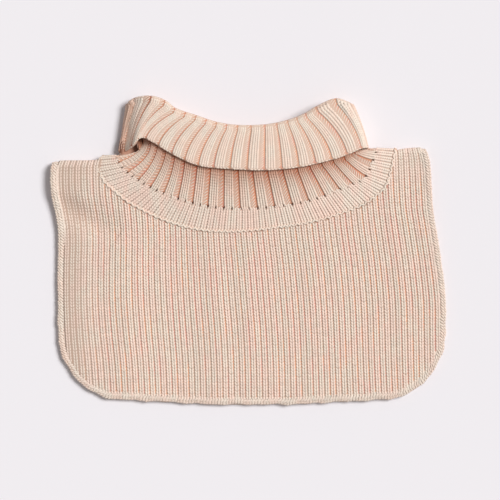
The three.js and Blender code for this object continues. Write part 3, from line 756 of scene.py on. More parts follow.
def grain_piece(name, sets, material):
    """One piece from several sets of grains."""
    points, faces, start = [], [], 0
    attributes = {"tone": [], "sunk": [], "shade": []}
    for set_points, set_faces, set_attributes in sets:
        points.append(set_points)
        faces.append(set_faces + start)
        start += len(set_points)
        for key in attributes:
            attributes[key].append(set_attributes[key])
    attributes = {key: np.concatenate(values) for key, values in attributes.items()}
    return new_piece(name, np.vstack(points), [np.vstack(faces)], material, attributes)


# Materials

def linear(red, green, blue):
    """A colour given as sRGB values from 0 to 255."""
    return tuple(
        v / 12.92 if v <= 0.04045 else ((v + 0.055) / 1.055) ** 2.4
        for v in (red / 255, green / 255, blue / 255)
    ) + (1.0,)


def new_group(name, inputs, outputs):
    group = bpy.data.node_groups.new(name, "ShaderNodeTree")
    for socket, kind, value in inputs:
        made = group.interface.new_socket(socket, in_out="INPUT", socket_type=kind)
        made.default_value = value
    for socket, kind in outputs:
        group.interface.new_socket(socket, in_out="OUTPUT", socket_type=kind)
    return group, group.nodes.new("NodeGroupInput"), group.nodes.new("NodeGroupOutput")


def object_noise(group, scale, stretch=(1, 1, 1), detail=2):
    """Noise over the object, stretched along its axes."""
    place = group.nodes.new("ShaderNodeTexCoord")
    mapping = group.nodes.new("ShaderNodeMapping")
    mapping.inputs["Scale"].default_value = stretch
    noise = group.nodes.new("ShaderNodeTexNoise")
    noise.inputs["Scale"].default_value = scale
    noise.inputs["Detail"].default_value = detail
    group.links.new(place.outputs["Object"], mapping.inputs["Vector"])
    group.links.new(mapping.outputs["Vector"], noise.inputs["Vector"])
    return noise.outputs["Fac"]


MIX_SOCKETS = (0, 6, 7)  # of a colour mix: its factor and its two colours
MIX_RESULT = 2


def mixed(group, factor, a, b, blend="MIX"):
    node = group.nodes.new("ShaderNodeMix")
    node.data_type = "RGBA"
    node.blend_type = blend
    for index, value in zip(MIX_SOCKETS, (factor, a, b)):
        if isinstance(value, bpy.types.NodeSocket):
            group.links.new(value, node.inputs[index])
        else:
            node.inputs[index].default_value = value
    return node.outputs[MIX_RESULT]


def ranged(group, value, low, high, to_low=0.0, to_high=1.0):
    node = group.nodes.new("ShaderNodeMapRange")
    limits = {"From Min": low, "From Max": high, "To Min": to_low, "To Max": to_high}
    for name, number in limits.items():
        node.inputs[name].default_value = number
    group.links.new(value, node.inputs["Value"])
    return node.outputs["Result"]


def cuff_shade_group():
    """Deepens a colour where the cuff keeps the light off it."""
    colour = "NodeSocketColor"
    inputs = [("Colour", colour, (1, 1, 1, 1)), ("Shade", "NodeSocketFloat", 0.0)]
    group, given, result = new_group("cuff_shade", inputs, [("Colour", colour)])
    shaded = mixed(group, 1.0, given.outputs["Colour"], linear(198, 152, 130), "MULTIPLY")
    result_colour = mixed(group, given.outputs["Shade"], given.outputs["Colour"], shaded)
    group.links.new(result_colour, result.inputs["Colour"])
    return group


def attribute(tree, name):
    node = tree.nodes.new("ShaderNodeAttribute")
    node.attribute_name = name
    return node.outputs["Fac"]


def yarn_colour_and_shade_group():
    """Colour of the dyed yarn: paler and deeper stitches, and a warmer painted shade low down
    in the cloth, on the low side of each grain.
    """
    colour, number = "NodeSocketColor", "NodeSocketFloat"
    group, given, result = new_group("yarn_colour_and_shade", [
        ("Pale", colour, (1, 1, 1, 1)),
        ("Warm", colour, (1, 1, 1, 1)),
        ("Painted Shade", colour, (1, 1, 1, 1)),
        ("Tone", number, 0.5),
        ("Sunk", number, 0.0),
    ], [("Colour", colour)])
    patches = ranged(group, object_noise(group, 1.0, stretch=(170, 60, 60)), 0.38, 0.62)
    hue = mixed(group, patches, given.outputs["Pale"], given.outputs["Warm"])
    # painted shade: the low side of each grain runs to the shade colour
    low = ranged(group, given.outputs["Sunk"], 0.35, 1.0)
    hue = mixed(group, low, hue, given.outputs["Painted Shade"])
    shade = ranged(group, given.outputs["Tone"], 0.0, 1.0, 0.93, 1.05)
    fibre = ranged(group, object_noise(group, 2600.0, detail=1), 0.3, 0.7, 0.95, 1.04)
    for part in (shade, fibre):
        scale = group.nodes.new("ShaderNodeVectorMath")
        scale.operation = "SCALE"
        group.links.new(hue, scale.inputs[0])
        group.links.new(part, scale.inputs["Scale"])
        hue = scale.outputs[0]
    group.links.new(hue, result.inputs["Colour"])
    return group


def yarn_fibre_group():
    """Height of the yarn's twisted fibres."""
    group, _, result = new_group("yarn_fibre", [], [("Height", "NodeSocketFloat")])
    fine = object_noise(group, 1900.0, stretch=(1.0, 0.35, 1.0), detail=3)
    group.links.new(fine, result.inputs["Height"])
    return group


CUFF_SHADE = cuff_shade_group()
YARN_COLOUR_AND_SHADE = yarn_colour_and_shade_group()
YARN_FIBRE = yarn_fibre_group()


def wool(name, build_colour):
    """A woollen finish whose colour is built in its own nodes."""
    material = bpy.data.materials.new(name)
    material.use_nodes = True
    tree = material.node_tree
    shader = tree.nodes["Principled BSDF"]
    shader.inputs["Roughness"].default_value = 0.92
    shader.inputs["Specular IOR Level"].default_value = 0.2
    shader.inputs["Sheen Weight"].default_value = 0.04
    shader.inputs["Sheen Roughness"].default_value = 0.6
    # painted shade, as strong as each point's shade attribute
    shade = tree.nodes.new("ShaderNodeGroup")
    shade.node_tree = CUFF_SHADE
    tree.links.new(attribute(tree, "shade"), shade.inputs["Shade"])
    tree.links.new(build_colour(tree), shade.inputs["Colour"])
    tree.links.new(shade.outputs["Colour"], shader.inputs["Base Color"])
    relief = tree.nodes.new("ShaderNodeGroup")
    relief.node_tree = YARN_FIBRE
    bump = tree.nodes.new("ShaderNodeBump")
    bump.inputs["Strength"].default_value = 0.35
    bump.inputs["Distance"].default_value = 0.15 * MM
    tree.links.new(relief.outputs["Height"], bump.inputs["Height"])
    tree.links.new(bump.outputs["Normal"], shader.inputs["Normal"])
    return material


# dark brown painted shade in the eyelets, in the hollow under the cuff and in the furrows at its left
# end
DARK_SHADE_COLOUR = (96, 58, 42)
SHADED_YARN = (234, 190, 164)
YARNS = {  # pale, warm, and the painted shade on each grain's low side
    "bib_yarn": ((239, 224, 209), (244, 219, 205), SHADED_YARN),
    "hem_yarn": ((238, 224, 210), (241, 219, 204), (224, 192, 172)),
    "band_yarn": ((241, 225, 210), (246, 218, 203), SHADED_YARN),
    "collar_yarn": ((239, 225, 210), (243, 219, 203), SHADED_YARN),
}
# painted shade in the furrows: furrow, orange and rose
FURROW_SHADE_HUES = (208, 180, 160), (238, 178, 142), (232, 166, 154)
GROUNDS = {  # plain, then painted shade: dusk between the legs, and furrow, orange and rose in the furrows; then how finely they vary on each axis
    "bib_ground": (
        (222, 200, 186), (186, 161, 144), (210, 180, 160), (238, 178, 142), (226, 166, 150),
        (250, 45, 60),
    ),
    "back_ground": ((232, 212, 198), (206, 180, 162), *FURROW_SHADE_HUES, (250, 45, 60)),
    "hem_ground": ((232, 212, 198), (222, 200, 184), *FURROW_SHADE_HUES, (60, 60, 60)),
    "band_ground": (
        (222, 200, 186), (214, 188, 170), (224, 190, 168), (242, 182, 150), (236, 172, 158),
        (180, 90, 90),
    ),
    "collar_ground": (
        (232, 208, 192), (224, 198, 180), (220, 166, 136), (236, 166, 130), (226, 158, 136),
        (120, 120, 60),
    ),
}


def yarn_material(name):
    """Finish of the stitches themselves."""
    def colour(tree):
        yarn = tree.nodes.new("ShaderNodeGroup")
        yarn.node_tree = YARN_COLOUR_AND_SHADE
        for socket, value in zip(("Pale", "Warm", "Painted Shade"), YARNS[name]):
            yarn.inputs[socket].default_value = linear(*value)
        tree.links.new(attribute(tree, "tone"), yarn.inputs["Tone"])
        tree.links.new(attribute(tree, "sunk"), yarn.inputs["Sunk"])
        return yarn.outputs["Colour"]
    return wool(name, colour)


def ground_material(name):
    """Finish of the cloth under its stitches: plain where none cover it, and painted shade where
    they do: dusky between the legs of a stitch, and in the furrows a deeper shade that runs to
    orange and rose, dark brown in eyelets and hollows."""
    *colours, stretch = GROUNDS[name]
    plain, dusk, furrow, orange, rose = (linear(*each) for each in colours)

    def colour(tree):
        patches = ranged(tree, object_noise(tree, 1.0, stretch=stretch), 0.43, 0.56)
        hues = ranged(tree, object_noise(tree, 0.7, stretch=stretch), 0.44, 0.56)
        deep = mixed(tree, patches, furrow, mixed(tree, hues, orange, rose))
        covered = mixed(tree, attribute(tree, "furrow"), dusk, deep)
        seen = mixed(tree, attribute(tree, "covered"), plain, covered)
        return mixed(tree, attribute(tree, "dark_shade"), seen, linear(*DARK_SHADE_COLOUR))
    return wool(name, colour)


# Bib pieces

GROUND_STEPS = 4  # columns of the bib's ground for each rib
GROUND_ROWS = 56  # up to the neck
ROLLED_ROWS = 16  # and beside it, on a panel that rolls over at its shoulders
FLAT_ROWS = 8


def bib_furrow_profile(rib):
    """1 at the bottom of a bib furrow, 0 on the ridge."""
    return np.abs(2 * np.mod(rib, 1) - 1) ** 3


def panel_ground(name, panel, material, sunk, furrow_depth):
    """The ground of a panel: a closed sheet whose upper face is sunk, most in its furrows."""
    ribs = np.arange(0, BIB_RIBS * GROUND_STEPS + 1) / GROUND_STEPS
    lower_rows, upper_rows = GROUND_ROWS, ROLLED_ROWS if panel.rolled else FLAT_ROWS
    bottom, top, end = panel.bottom(ribs), panel.top(ribs), panel.end(ribs)
    beside = panel.beside_neck(ribs)
    left_tip = np.flatnonzero(beside & (ribs < BIB_RIBS / 2))[-1]
    right_tip = np.flatnonzero(beside & (ribs > BIB_RIBS / 2))[0]
    place_rib, place_height, index = [], [], []
    for i, rib in enumerate(ribs):
        heights = list(np.linspace(bottom[i], top[i], lower_rows + 1))
        if beside[i]:
            heights += list(np.linspace(top[i], end[i], upper_rows + 1)[1:])
        index.append(np.arange(len(heights)) + len(place_rib))
        place_rib += [rib] * len(heights)
        place_height += heights
    place_rib, place_height = np.array(place_rib), np.array(place_height)
    p, _, _, normal = face_frame(panel, place_rib, place_height)
    thinner = (RIM_THINNING if panel.rolled else 0) * rim_share(p[:, 0], p[:, 1])
    calmness = calm(p[:, 0], p[:, 1])
    depth = bib_furrow_profile(place_rib) * (1 - calmness)
    sunk = (sunk + furrow_depth * depth) * (1 - CALM_RAISE * calmness)
    outer = p - normal * column(sunk)
    inner = p - normal * column(WALL - thinner)
    inner[:, 2] = np.maximum(inner[:, 2], LOWEST)
    quads = []
    for i in range(len(ribs) - 1):
        rows = min(len(index[i]), len(index[i + 1])) - 1
        a, b = index[i], index[i + 1]
        quads.append(np.stack([a[:rows], b[:rows], b[1:rows + 1], a[1:rows + 1]], axis=-1))
    upper = np.vstack(quads)
    count = len(place_rib)
    last_row = lower_rows + upper_rows
    edges = [
        [a[0] for a in index],
        list(index[-1]),
        [a[last_row] for a in index[right_tip:]][::-1],
        list(index[right_tip][lower_rows:])[::-1],
        [a[lower_rows] for a in index[left_tip:right_tip + 1]][::-1],
        list(index[left_tip][lower_rows:]),
        [a[last_row] for a in index[:left_tip + 1]][::-1],
        list(index[0])[::-1],
    ]
    walls = []
    for edge in edges:
        e = np.array(edge)
        walls.append(np.stack([e[:-1] + count, e[1:] + count, e[1:], e[:-1]], axis=-1))
    faces = [np.vstack([upper, (upper + count)[:, ::-1], *walls])]
    # painted shade on the upper face, deeper in the furrows and lighter where they fade out
    attributes = {
        "covered": np.concatenate([1 - CALM_BARE * calmness, np.zeros(count)]),
        "furrow": np.concatenate([depth, depth]),
        "dark_shade": np.zeros(2 * count),
    }
    return new_piece(name, np.vstack([outer, inner]), faces, material, attributes)


def bib_stitches(name, panel, first_rib, last_rib, material):
    """The stitches of some of the front panel's ribs, two legs each."""
    sets = []
    for k in range(first_rib, last_rib):
        middle = np.array([k + 0.5])
        low = panel.bottom(middle)[0] - BOTTOM_TUCK
        beside = panel.beside_neck(middle)[0]
        high = (panel.end(middle)[0] if beside else panel.top(middle)[0]) - TOP_MARGIN
        courses = np.arange(math.ceil(low / BIB_COURSE), math.floor(high / BIB_COURSE) + 1)
        place = courses * BIB_COURSE + RNG.normal(0, 0.08, len(courses))
        tone = tones(len(courses), 0.5 + RNG.normal(0, 0.13))
        for side in (-1, 1):
            rib = k + 0.5 + side * BIB_LEG_ASIDE + RNG.normal(0, 0.006, len(courses))
            p, across, up, normal = face_frame(panel, rib, place)
            lean = np.radians(BIB_LEG_LEAN + RNG.normal(0, 2, len(courses)))
            along = up * column(np.cos(lean)) + across * column(side * np.sin(lean))
            centre = p - normal * BIB_LEG_SUNK
            calmness = calm(p[:, 0], p[:, 1])
            length, width, height = (a + b * calmness for a, b in zip(BIB_LEG, CALM_LEG))
            width = width + RNG.normal(0, 0.02, len(courses))
            # painted shade: stitches darken towards the left edge, which looks away from the light
            left_shade = LEFT_EDGE_SHADE * leftward(p[:, 0])
            sets.append(grains(centre, along, normal, length, width, height, tone - left_shade))
    return grain_piece(name, sets, material)


def front_bib():
    panel = FrontPanel(neck_ribs=(1.7, 18.8), rolled=True)
    ground = ground_material("bib_ground")
    sheet = panel_ground("front_bib_cloth", panel, ground, BIB_SUNK, BIB_FURROW)
    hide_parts("front_bib")
    yarn = yarn_material("bib_yarn")
    thirds = np.linspace(0, BIB_RIBS, 4).astype(int)
    sides = ("left", "middle", "right")
    stitches = [
        bib_stitches(f"front_stitches_{side}", panel, first, last, yarn)
        for side, first, last in zip(sides, thirds, thirds[1:])
    ]
    return sheet, stitches


class BackPanel(Panel):
    def points(self, rib, height):
        x = self.x_at(rib, height)
        return np.stack([x, height, WALL - BACK_RIM_DROP * rim_share(x, height)], axis=-1)


def back_bib():
    panel = BackPanel(neck_ribs=(36.4, 19.4), rolled=False)
    ground = ground_material("back_ground")
    sheet = panel_ground("back_bib_cloth", panel, ground, 0, BACK_FURROW)
    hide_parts("back_bib")
    return sheet


# Hems

def resampled(line, spacing):
    """A line of rows, whose first three columns are its points, at an even spacing."""
    shortest = 1e-4
    line = line[np.diff(places_along(line[:, :3]), prepend=-1) > shortest]
    at = places_along(line[:, :3])
    places = np.linspace(0, at[-1], int(at[-1] / spacing) + 1)
    return np.stack([np.interp(places, at, line[:, k]) for k in range(line.shape[1])], axis=-1)


SHOULDER_LEVEL = 60.0  # where the shoulder's roll is measured for the hem
HEM_ROLL_ROWS = 18  # rows of its line over the shoulder
HEM_SIDE_ROWS = 60  # and down the side


def hem_line(height_at, with_shoulders):
    """The bib's rim from the left shoulder down, along the bottom and up to the right one:
    points on the cloth's face, with the directions out and up."""
    corner_y = BOTTOM_EDGE + CORNER_HEIGHT

    def side_rows(side):
        edge_x = side_edge(side, np.array([SHOULDER_LEVEL]))
        radius = shoulder_radius(edge_x)[0]
        start = shoulder_line(edge_x)[0] - radius
        y = np.linspace(start, corner_y, HEM_SIDE_ROWS) - (0 if with_shoulders else GAP)
        x = side_edge(side, y)
        points, up = np.stack([x, y, height_at(x, y)], axis=-1), np.tile([0.0, 0.0, 1.0], (len(x), 1))
        if with_shoulders:
            angle = np.linspace(math.pi, 0, HEM_ROLL_ROWS)
            zero = np.zeros(HEM_ROLL_ROWS)
            over = np.stack([zero, np.sin(angle), np.cos(angle)], axis=-1)
            x = side_edge(side, start + radius * np.sin(angle))
            centre = np.stack([x, zero + start, zero + radius + HEM_PROUD / 2], axis=-1)
            points = np.vstack([centre + over * (radius - HEM_PROUD / 2), points])
            up = np.vstack([over, up])
        return np.hstack([points, np.tile([side, 0.0, 0.0], (len(points), 1)), up])

    points, out = lower_outline(0)
    z = height_at(points[:, 0], points[:, 1])
    flat = np.zeros(len(points))
    lower = np.column_stack([points, z, out, flat, flat, flat, flat + 1])
    line = np.vstack([side_rows(-1), lower, side_rows(1)[::-1]])
    line = resampled(line, HEM_STITCH)
    at, out, up = line[:, :3], unit(line[:, 3:6]), unit(line[:, 6:9])
    place = np.arange(len(at)) * HEM_STITCH
    uneven = sum(depth * np.sin(place / length + start) for depth, length, start in HEM_WAVES)
    low = np.clip((WAVES_FROM - at[:, 1]) / WAVES_REACH, LEAST_WAVES, 1)
    return at - out * column(HEM_INSET + uneven * low), out, up


HEM_UNDERSIDE = -1.2  # points of the hem's profile below this height aren't covered by stitches, and take no painted shade


def hem_strip(name, line, thickness, material):
    """The hem's ground, a rounded strip with closed ends."""
    at, out, up = line
    profile = np.array([  # inward from the rim, height
        [HEM_WIDTH + HEM_TONGUE, -0.8],
        [HEM_WIDTH, -0.45],
        [HEM_WIDTH * 0.85, -0.2],
        [HEM_WIDTH * 0.55, 0.0],
        [HEM_WIDTH * 0.3, -0.15],
        [0.6, -0.55],
        [0.35, -thickness / 2],
        [0.7, -thickness * 0.9],
        [HEM_WIDTH * 0.4, -thickness],
        [HEM_WIDTH + HEM_TONGUE, -thickness],
    ])
    sections = at[:, None] - out[:, None] * profile[None, :, 0:1] + up[:, None] * profile[None, :, 1:2]
    count, along = sections.shape[:2]
    i, k = np.meshgrid(np.arange(count - 1), np.arange(along), indexing="ij")
    n = (k + 1) % along
    quads = np.stack([i * along + k, i * along + n, (i + 1) * along + n, (i + 1) * along + k], axis=-1)
    ring = np.arange(along)
    last = (count - 1) * along
    caps = [ring[None, ::-1], (ring + last)[None]]
    total = count * along
    covered = np.tile(profile[:, 1] > HEM_UNDERSIDE, count)
    attributes = {"covered": covered, "furrow": np.zeros(total), "dark_shade": np.zeros(total)}
    faces = [quads.reshape(-1, 4), *caps]
    return new_piece(name, sections.reshape(-1, 3), faces, material, attributes)


LOOSE_THREAD = [  # x, y, z and direction of each bit of the thread that stands off the hem
    (-134.6, -70.4, 3.2, 200),
    (-135.7, -69.9, 3.5, 110),
    (-135.4, -68.9, 3.6, 40),
]
THREAD_GRAIN = (1.0, 0.28, 0.28)  # half length, half width and half height of one bit
HEM_ROWS = (  # how far inside the rim, slant, half length, half width, height and tilt
    (4.95, 4, 1.7, 1.2, -0.25, -0.1),
    (2.9, 48, 2.1, 1.05, -0.05, 0.25),
    (1.0, 30, 1.6, 0.95, -0.45, 1.0),
)
HEM_GRAIN_HEIGHT = 0.38


def hem_stitches(name, line, material):
    """Rows of small slanted stitches down the hem, and one beside the panel."""
    at, out, up = line
    run = unit(np.gradient(at, axis=0))
    sets = []
    count = len(at)
    keep = slice(1, -1, 2)
    for inward, slant, length, width, height, tilt in HEM_ROWS:
        inward = inward + RNG.normal(0, 0.08, count)
        centre = at - out * column(inward) + up * height
        angle = np.radians(slant + RNG.normal(0, 7, count))
        along = run * column(np.cos(angle)) - out * column(np.sin(angle))
        normal = unit(up + out * tilt)
        tone = tones(count, spread=0.24)
        long = length * (1 + RNG.normal(0, 0.08, count))
        kept = (values[keep] for values in (centre, along, normal, long))
        sets.append(grains(*kept, width, HEM_GRAIN_HEIGHT, tone[keep]))
    x, y, z, turn = np.array(LOOSE_THREAD).T
    turn = np.radians(turn)
    thread = np.stack([np.cos(turn), np.sin(turn), 0.2 + 0 * turn], axis=-1)
    upward = np.tile([0.0, 0.0, 1.0], (len(x), 1))
    sets.append(grains(np.stack([x, y, z], axis=-1), thread, upward, *THREAD_GRAIN, 0.9))
    return grain_piece(name, sets, material)


def hems():
    ground, yarn = ground_material("hem_ground"), yarn_material("hem_yarn")
    line = hem_line(front_top, True)
    front = hem_strip("front_hem_cloth", line, WALL - RIM_THINNING, ground)
    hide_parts("front_hem")
    stitches = hem_stitches("front_hem_stitches", line, yarn)
    thickness = WALL - HEM_PROUD - BACK_RIM_DROP
    back_line = hem_line(lambda x, y: np.full(np.shape(x), thickness), False)
    back = hem_strip("back_hem_cloth", back_line, thickness, ground)
    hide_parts("back_hem")
    return front, stitches, back


# Neck band

class BandFace:
    """The band's outer face, read at a rib and at a share of the way up from the seam."""

    steps = (0.05, 0.05)

    def points(self, rib, share):
        top = ring_point("base", rib) - ring_run("base", rib) * GAP
        return mix(ring_point("seam", rib), top, column(share))


BAND_SAMPLES = 12  # columns of the band's ground for each rib
BAND_LINE = 0.35  # the share of the way up at which its columns of stitches are evenly spaced
BAND_BEHIND = (1.5, 0.6)  # ribs that its stitches go on behind the left end and the right one
COLUMN_REACH = 0.45  # how far beside its middle a column's width is measured


def even_wales():
    """Ribs and the columns of stitches that stand there, and how many columns there are."""
    rib = np.arange(COLLAR_RIBS * BAND_SAMPLES + 1) / BAND_SAMPLES
    line = BandFace().points(rib, np.full(len(rib), BAND_LINE))
    place = places_along(line)
    count = round(place[-1] / BAND_PITCH)
    return rib, place / place[-1] * count, count


KNOWN_RIBS, KNOWN_WALES, WALES = even_wales()


def wale_of(rib):
    """The column of stitches, a wale, that stands at a rib of the collar."""
    return np.interp(np.mod(rib, COLLAR_RIBS), KNOWN_RIBS, KNOWN_WALES)


def rib_of(wale):
    """The rib at which a column of stitches stands."""
    return np.interp(np.mod(wale, WALES), KNOWN_WALES, KNOWN_RIBS)


def band_profile(rib):
    """1 between two columns of stitches, 0 in the middle of one."""
    return np.abs(2 * np.mod(wale_of(rib), 1) - 1) ** 3


EYELET_SPACING = 5  # from one eyelet to the next
EYELET_SIZE = (0.55, 1.1)  # half width and half height
EYELET_PUSH = 0.45  # how far an eyelet pushes a leg aside
EYELET_SQUEEZE = 0.4  # and how much narrower it makes it
CLOSED_RIBS = 7  # the eyelets close over so many ribs towards the left end
LEAST_OPEN = 0.3
EYELET_FADE = 1.4  # an eyelet ends at so many times its size, and is whole up to 1 less
PUSH_FADE = 1.6  # and its push on the legs ends at so many millimetres beside it
PUSH_HEIGHT = 1.2  # or so many times that above and below it


def eyelet_mask(rib, distance):
    """How much a place is part of an eyelet: there are two to a rib, at the collar's foot,
    and at its left end they are nearly closed."""
    wide, high = EYELET_SIZE
    open_share = np.clip(LEAST_OPEN + np.abs(from_left_end(rib)) / CLOSED_RIBS, 0, 1)
    off = np.hypot(from_eyelet(rib) / wide, distance / high)
    return open_share * np.clip(EYELET_FADE - off, 0, 1)


def from_eyelet(rib):
    """How far to the right of the nearest eyelet a rib is."""
    return (np.mod(neck_count(rib) * 2 + 0.5, 1) - 0.5) * EYELET_SPACING


def beside_eyelet(rib, distance):
    """How far a leg moves aside for an eyelet, and how much of its width it keeps."""
    across = from_eyelet(rib)
    near = np.clip(PUSH_FADE - np.hypot(across, distance / PUSH_HEIGHT), 0, 1)
    return np.where(across < 0, -EYELET_PUSH, EYELET_PUSH) * near, 1 - EYELET_SQUEEZE * near


def neck_band():
    face = BandFace()
    rib = np.arange(COLLAR_RIBS * BAND_SAMPLES) / BAND_SAMPLES
    shares = np.linspace(0, 1, BAND_ROWS)
    outer, inner, furrow, dark_shade = [], [], [], []
    seam_normal, base_normal = ring_normal("seam", rib), ring_normal("base", rib)
    for share in shares:
        p = face.points(rib, np.full(len(rib), share))
        normal = unit(mix(seam_normal, base_normal, share))
        outer.append(p - normal * column(BAND_SUNK + BAND_FURROW * band_profile(rib)))
        inner.append(p - normal * column(wall_at(rib)))
        # painted shade: between the columns of stitches, and dark in the open eyelets
        furrow.append(BAND_FURROW_SHADE * band_profile(rib))
        dark_shade.append(eyelet_mask(rib, (1 - share) * BAND_WIDTH))
    sections = np.stack(outer + inner[::-1], axis=1)
    along = sections.shape[1]
    blank = [np.zeros(len(rib))] * len(shares)
    attributes = {
        "covered": np.tile(np.arange(along) < len(shares), len(rib)),
        "furrow": np.stack(furrow + blank, axis=1).ravel(),
        "dark_shade": np.stack(dark_shade + blank, axis=1).ravel(),
    }
    ground = ground_material("band_ground")
    faces = [ring_faces(len(rib), along)]
    cloth = new_piece("neck_band_cloth", sections.reshape(-1, 3), faces, ground, attributes)
    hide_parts("neck_band")
    stitches = band_stitches(face, yarn_material("band_yarn"))
    return cloth, stitches


def band_stitches(face, material):
    """The stitches of the band's front part, two legs each."""
    sets = []
    rows = BAND_ROWS
    wales = np.arange(WALES) + 0.5
    middle = rib_of(wales)
    behind_left, behind_right = BAND_BEHIND
    wales = wales[(middle < FRONT_RIBS + behind_right) | (middle > COLLAR_RIBS - behind_left)]
    lean = math.radians(BAND_LEG_LEAN)
    for row in range(rows):
        share = np.full(len(wales), BAND_FIRST_ROW + BAND_ROW_SPAN * row / (rows - 1))
        tone = tones(len(wales))
        for side in (-1, 1):
            rib = rib_of(wales + side * BAND_LEG_ASIDE)
            p, across, up, normal = face_frame(face, rib, share)
            along = up * math.cos(lean) + across * side * math.sin(lean)
            halfway = face.points(rib_of(wales + side * COLUMN_REACH), share)
            pitch = apart(halfway, face.points(rib_of(wales), share))
            run = apart(face.points(rib, share + 0.05), face.points(rib, share - 0.05)) * 10
            aside, narrower = beside_eyelet(rib, (1 - share) * run)
            centre = p - normal * BAND_LEG_SUNK + across * column(aside)
            length, width, height = BAND_LEG
            size = (run / rows * length, pitch * width * narrower, height)
            sets.append(grains(centre, along, normal, *size, tone))
    return grain_piece("band_stitches", sets, material)


LINK = (1.9, 0.8, 0.6)  # half length, half width and half height of a link
LINK_GAP = (37.9, 0.6)  # the rib at which links are left out, behind the left tip, and how far
LINK_RUN, LINK_SLANT = 0.84, 0.54  # its direction along the seam and across it
LINK_GROWTH = 4  # ribs over which the links grow to their full size, from the left tip
LEAST_LINK = 0.45
LINK_LIFT = 0.5  # how far a full link's middle stands up, and how far all of them are sunk
LINK_SUNK = 0.3
LINK_DOWN = 0.4  # how far it lies below the seam, away from the band
LINK_FLOOR = 1  # and how high above the floor it stays


def seam_chain(material):
    """The linked seam round the band's foot: one pale link to each column of stitches."""
    sets = []
    for slant, offset in ((1, 0.0), (-1, 0.5)):
        rib = rib_of(np.arange(WALES) + offset)
        rib = rib[np.abs(rib - LINK_GAP[0]) > LINK_GAP[1]]
        p = ring_point("seam", rib)
        run = unit(ring_point("seam", rib + 0.1) - ring_point("seam", rib - 0.1))
        normal = ring_normal("seam", rib)
        up = unit(np.cross(normal, run))
        along = run * LINK_RUN + up * (LINK_SLANT * slant)
        size = np.clip(np.mod(rib + 1, COLLAR_RIBS) / LINK_GROWTH, LEAST_LINK, 1)
        centre = p + normal * column(LINK_LIFT * size - LINK_SUNK) - up * LINK_DOWN
        centre[:, 2] = np.maximum(centre[:, 2], LINK_FLOOR)
        tone = tones(len(rib), middle=0.4)
        length, width, height = LINK
        sets.append(grains(centre, along, normal, length, width * size, height * size, tone))
    chain = grain_piece("seam_chain", sets, material)
    return chain


# Roll collar

def from_left_end(rib):
    """How many ribs a place is from the collar's left end, less than 0 behind it."""
    return np.mod(rib + COLLAR_RIBS / 2, COLLAR_RIBS) - COLLAR_RIBS / 2


def plateau(rib, middle, width):
    """1 round a rib near the left end, falling off steeply to both sides."""
    return np.exp(-(((from_left_end(rib) - middle) / width) ** 4))


HOLLOW = (0.65, 0.8)  # its rib, and over how many ribs it fades out
HOLLOW_BELOW = 5  # how far below the neck's ring it begins
HOLLOW_FADE = 4
END_SHADE = (-0.35, 0.75)  # rib and reach of the shade on the cuff's left end


def hollow(rib, place):
    """1 in the dark hollow under the cuff at the collar's left end, which is painted in deep shade."""
    return plateau(rib, *HOLLOW) * np.clip((place - NECK_PLACE + HOLLOW_BELOW) / HOLLOW_FADE, 0, 1)


def neck_shade(rib, place):
    """How far a place on the neck lies in the shade of the cuff's edge."""
    under = NECK_SHADE * np.clip(np.exp((place - NECK_PLACE) / SHADE_REACH), 0, 1)
    return np.maximum(under, hollow(rib, place))


def cuff_shade(rib):
    """How far the cuff's left end, which looks away from the light, lies in shade."""
    return CUFF_SHADE_STRENGTH * plateau(rib, *END_SHADE)


GROUND_SAMPLES = 8  # columns of the collar's ground for each rib
GROUND_PLACES = 72  # and its rows


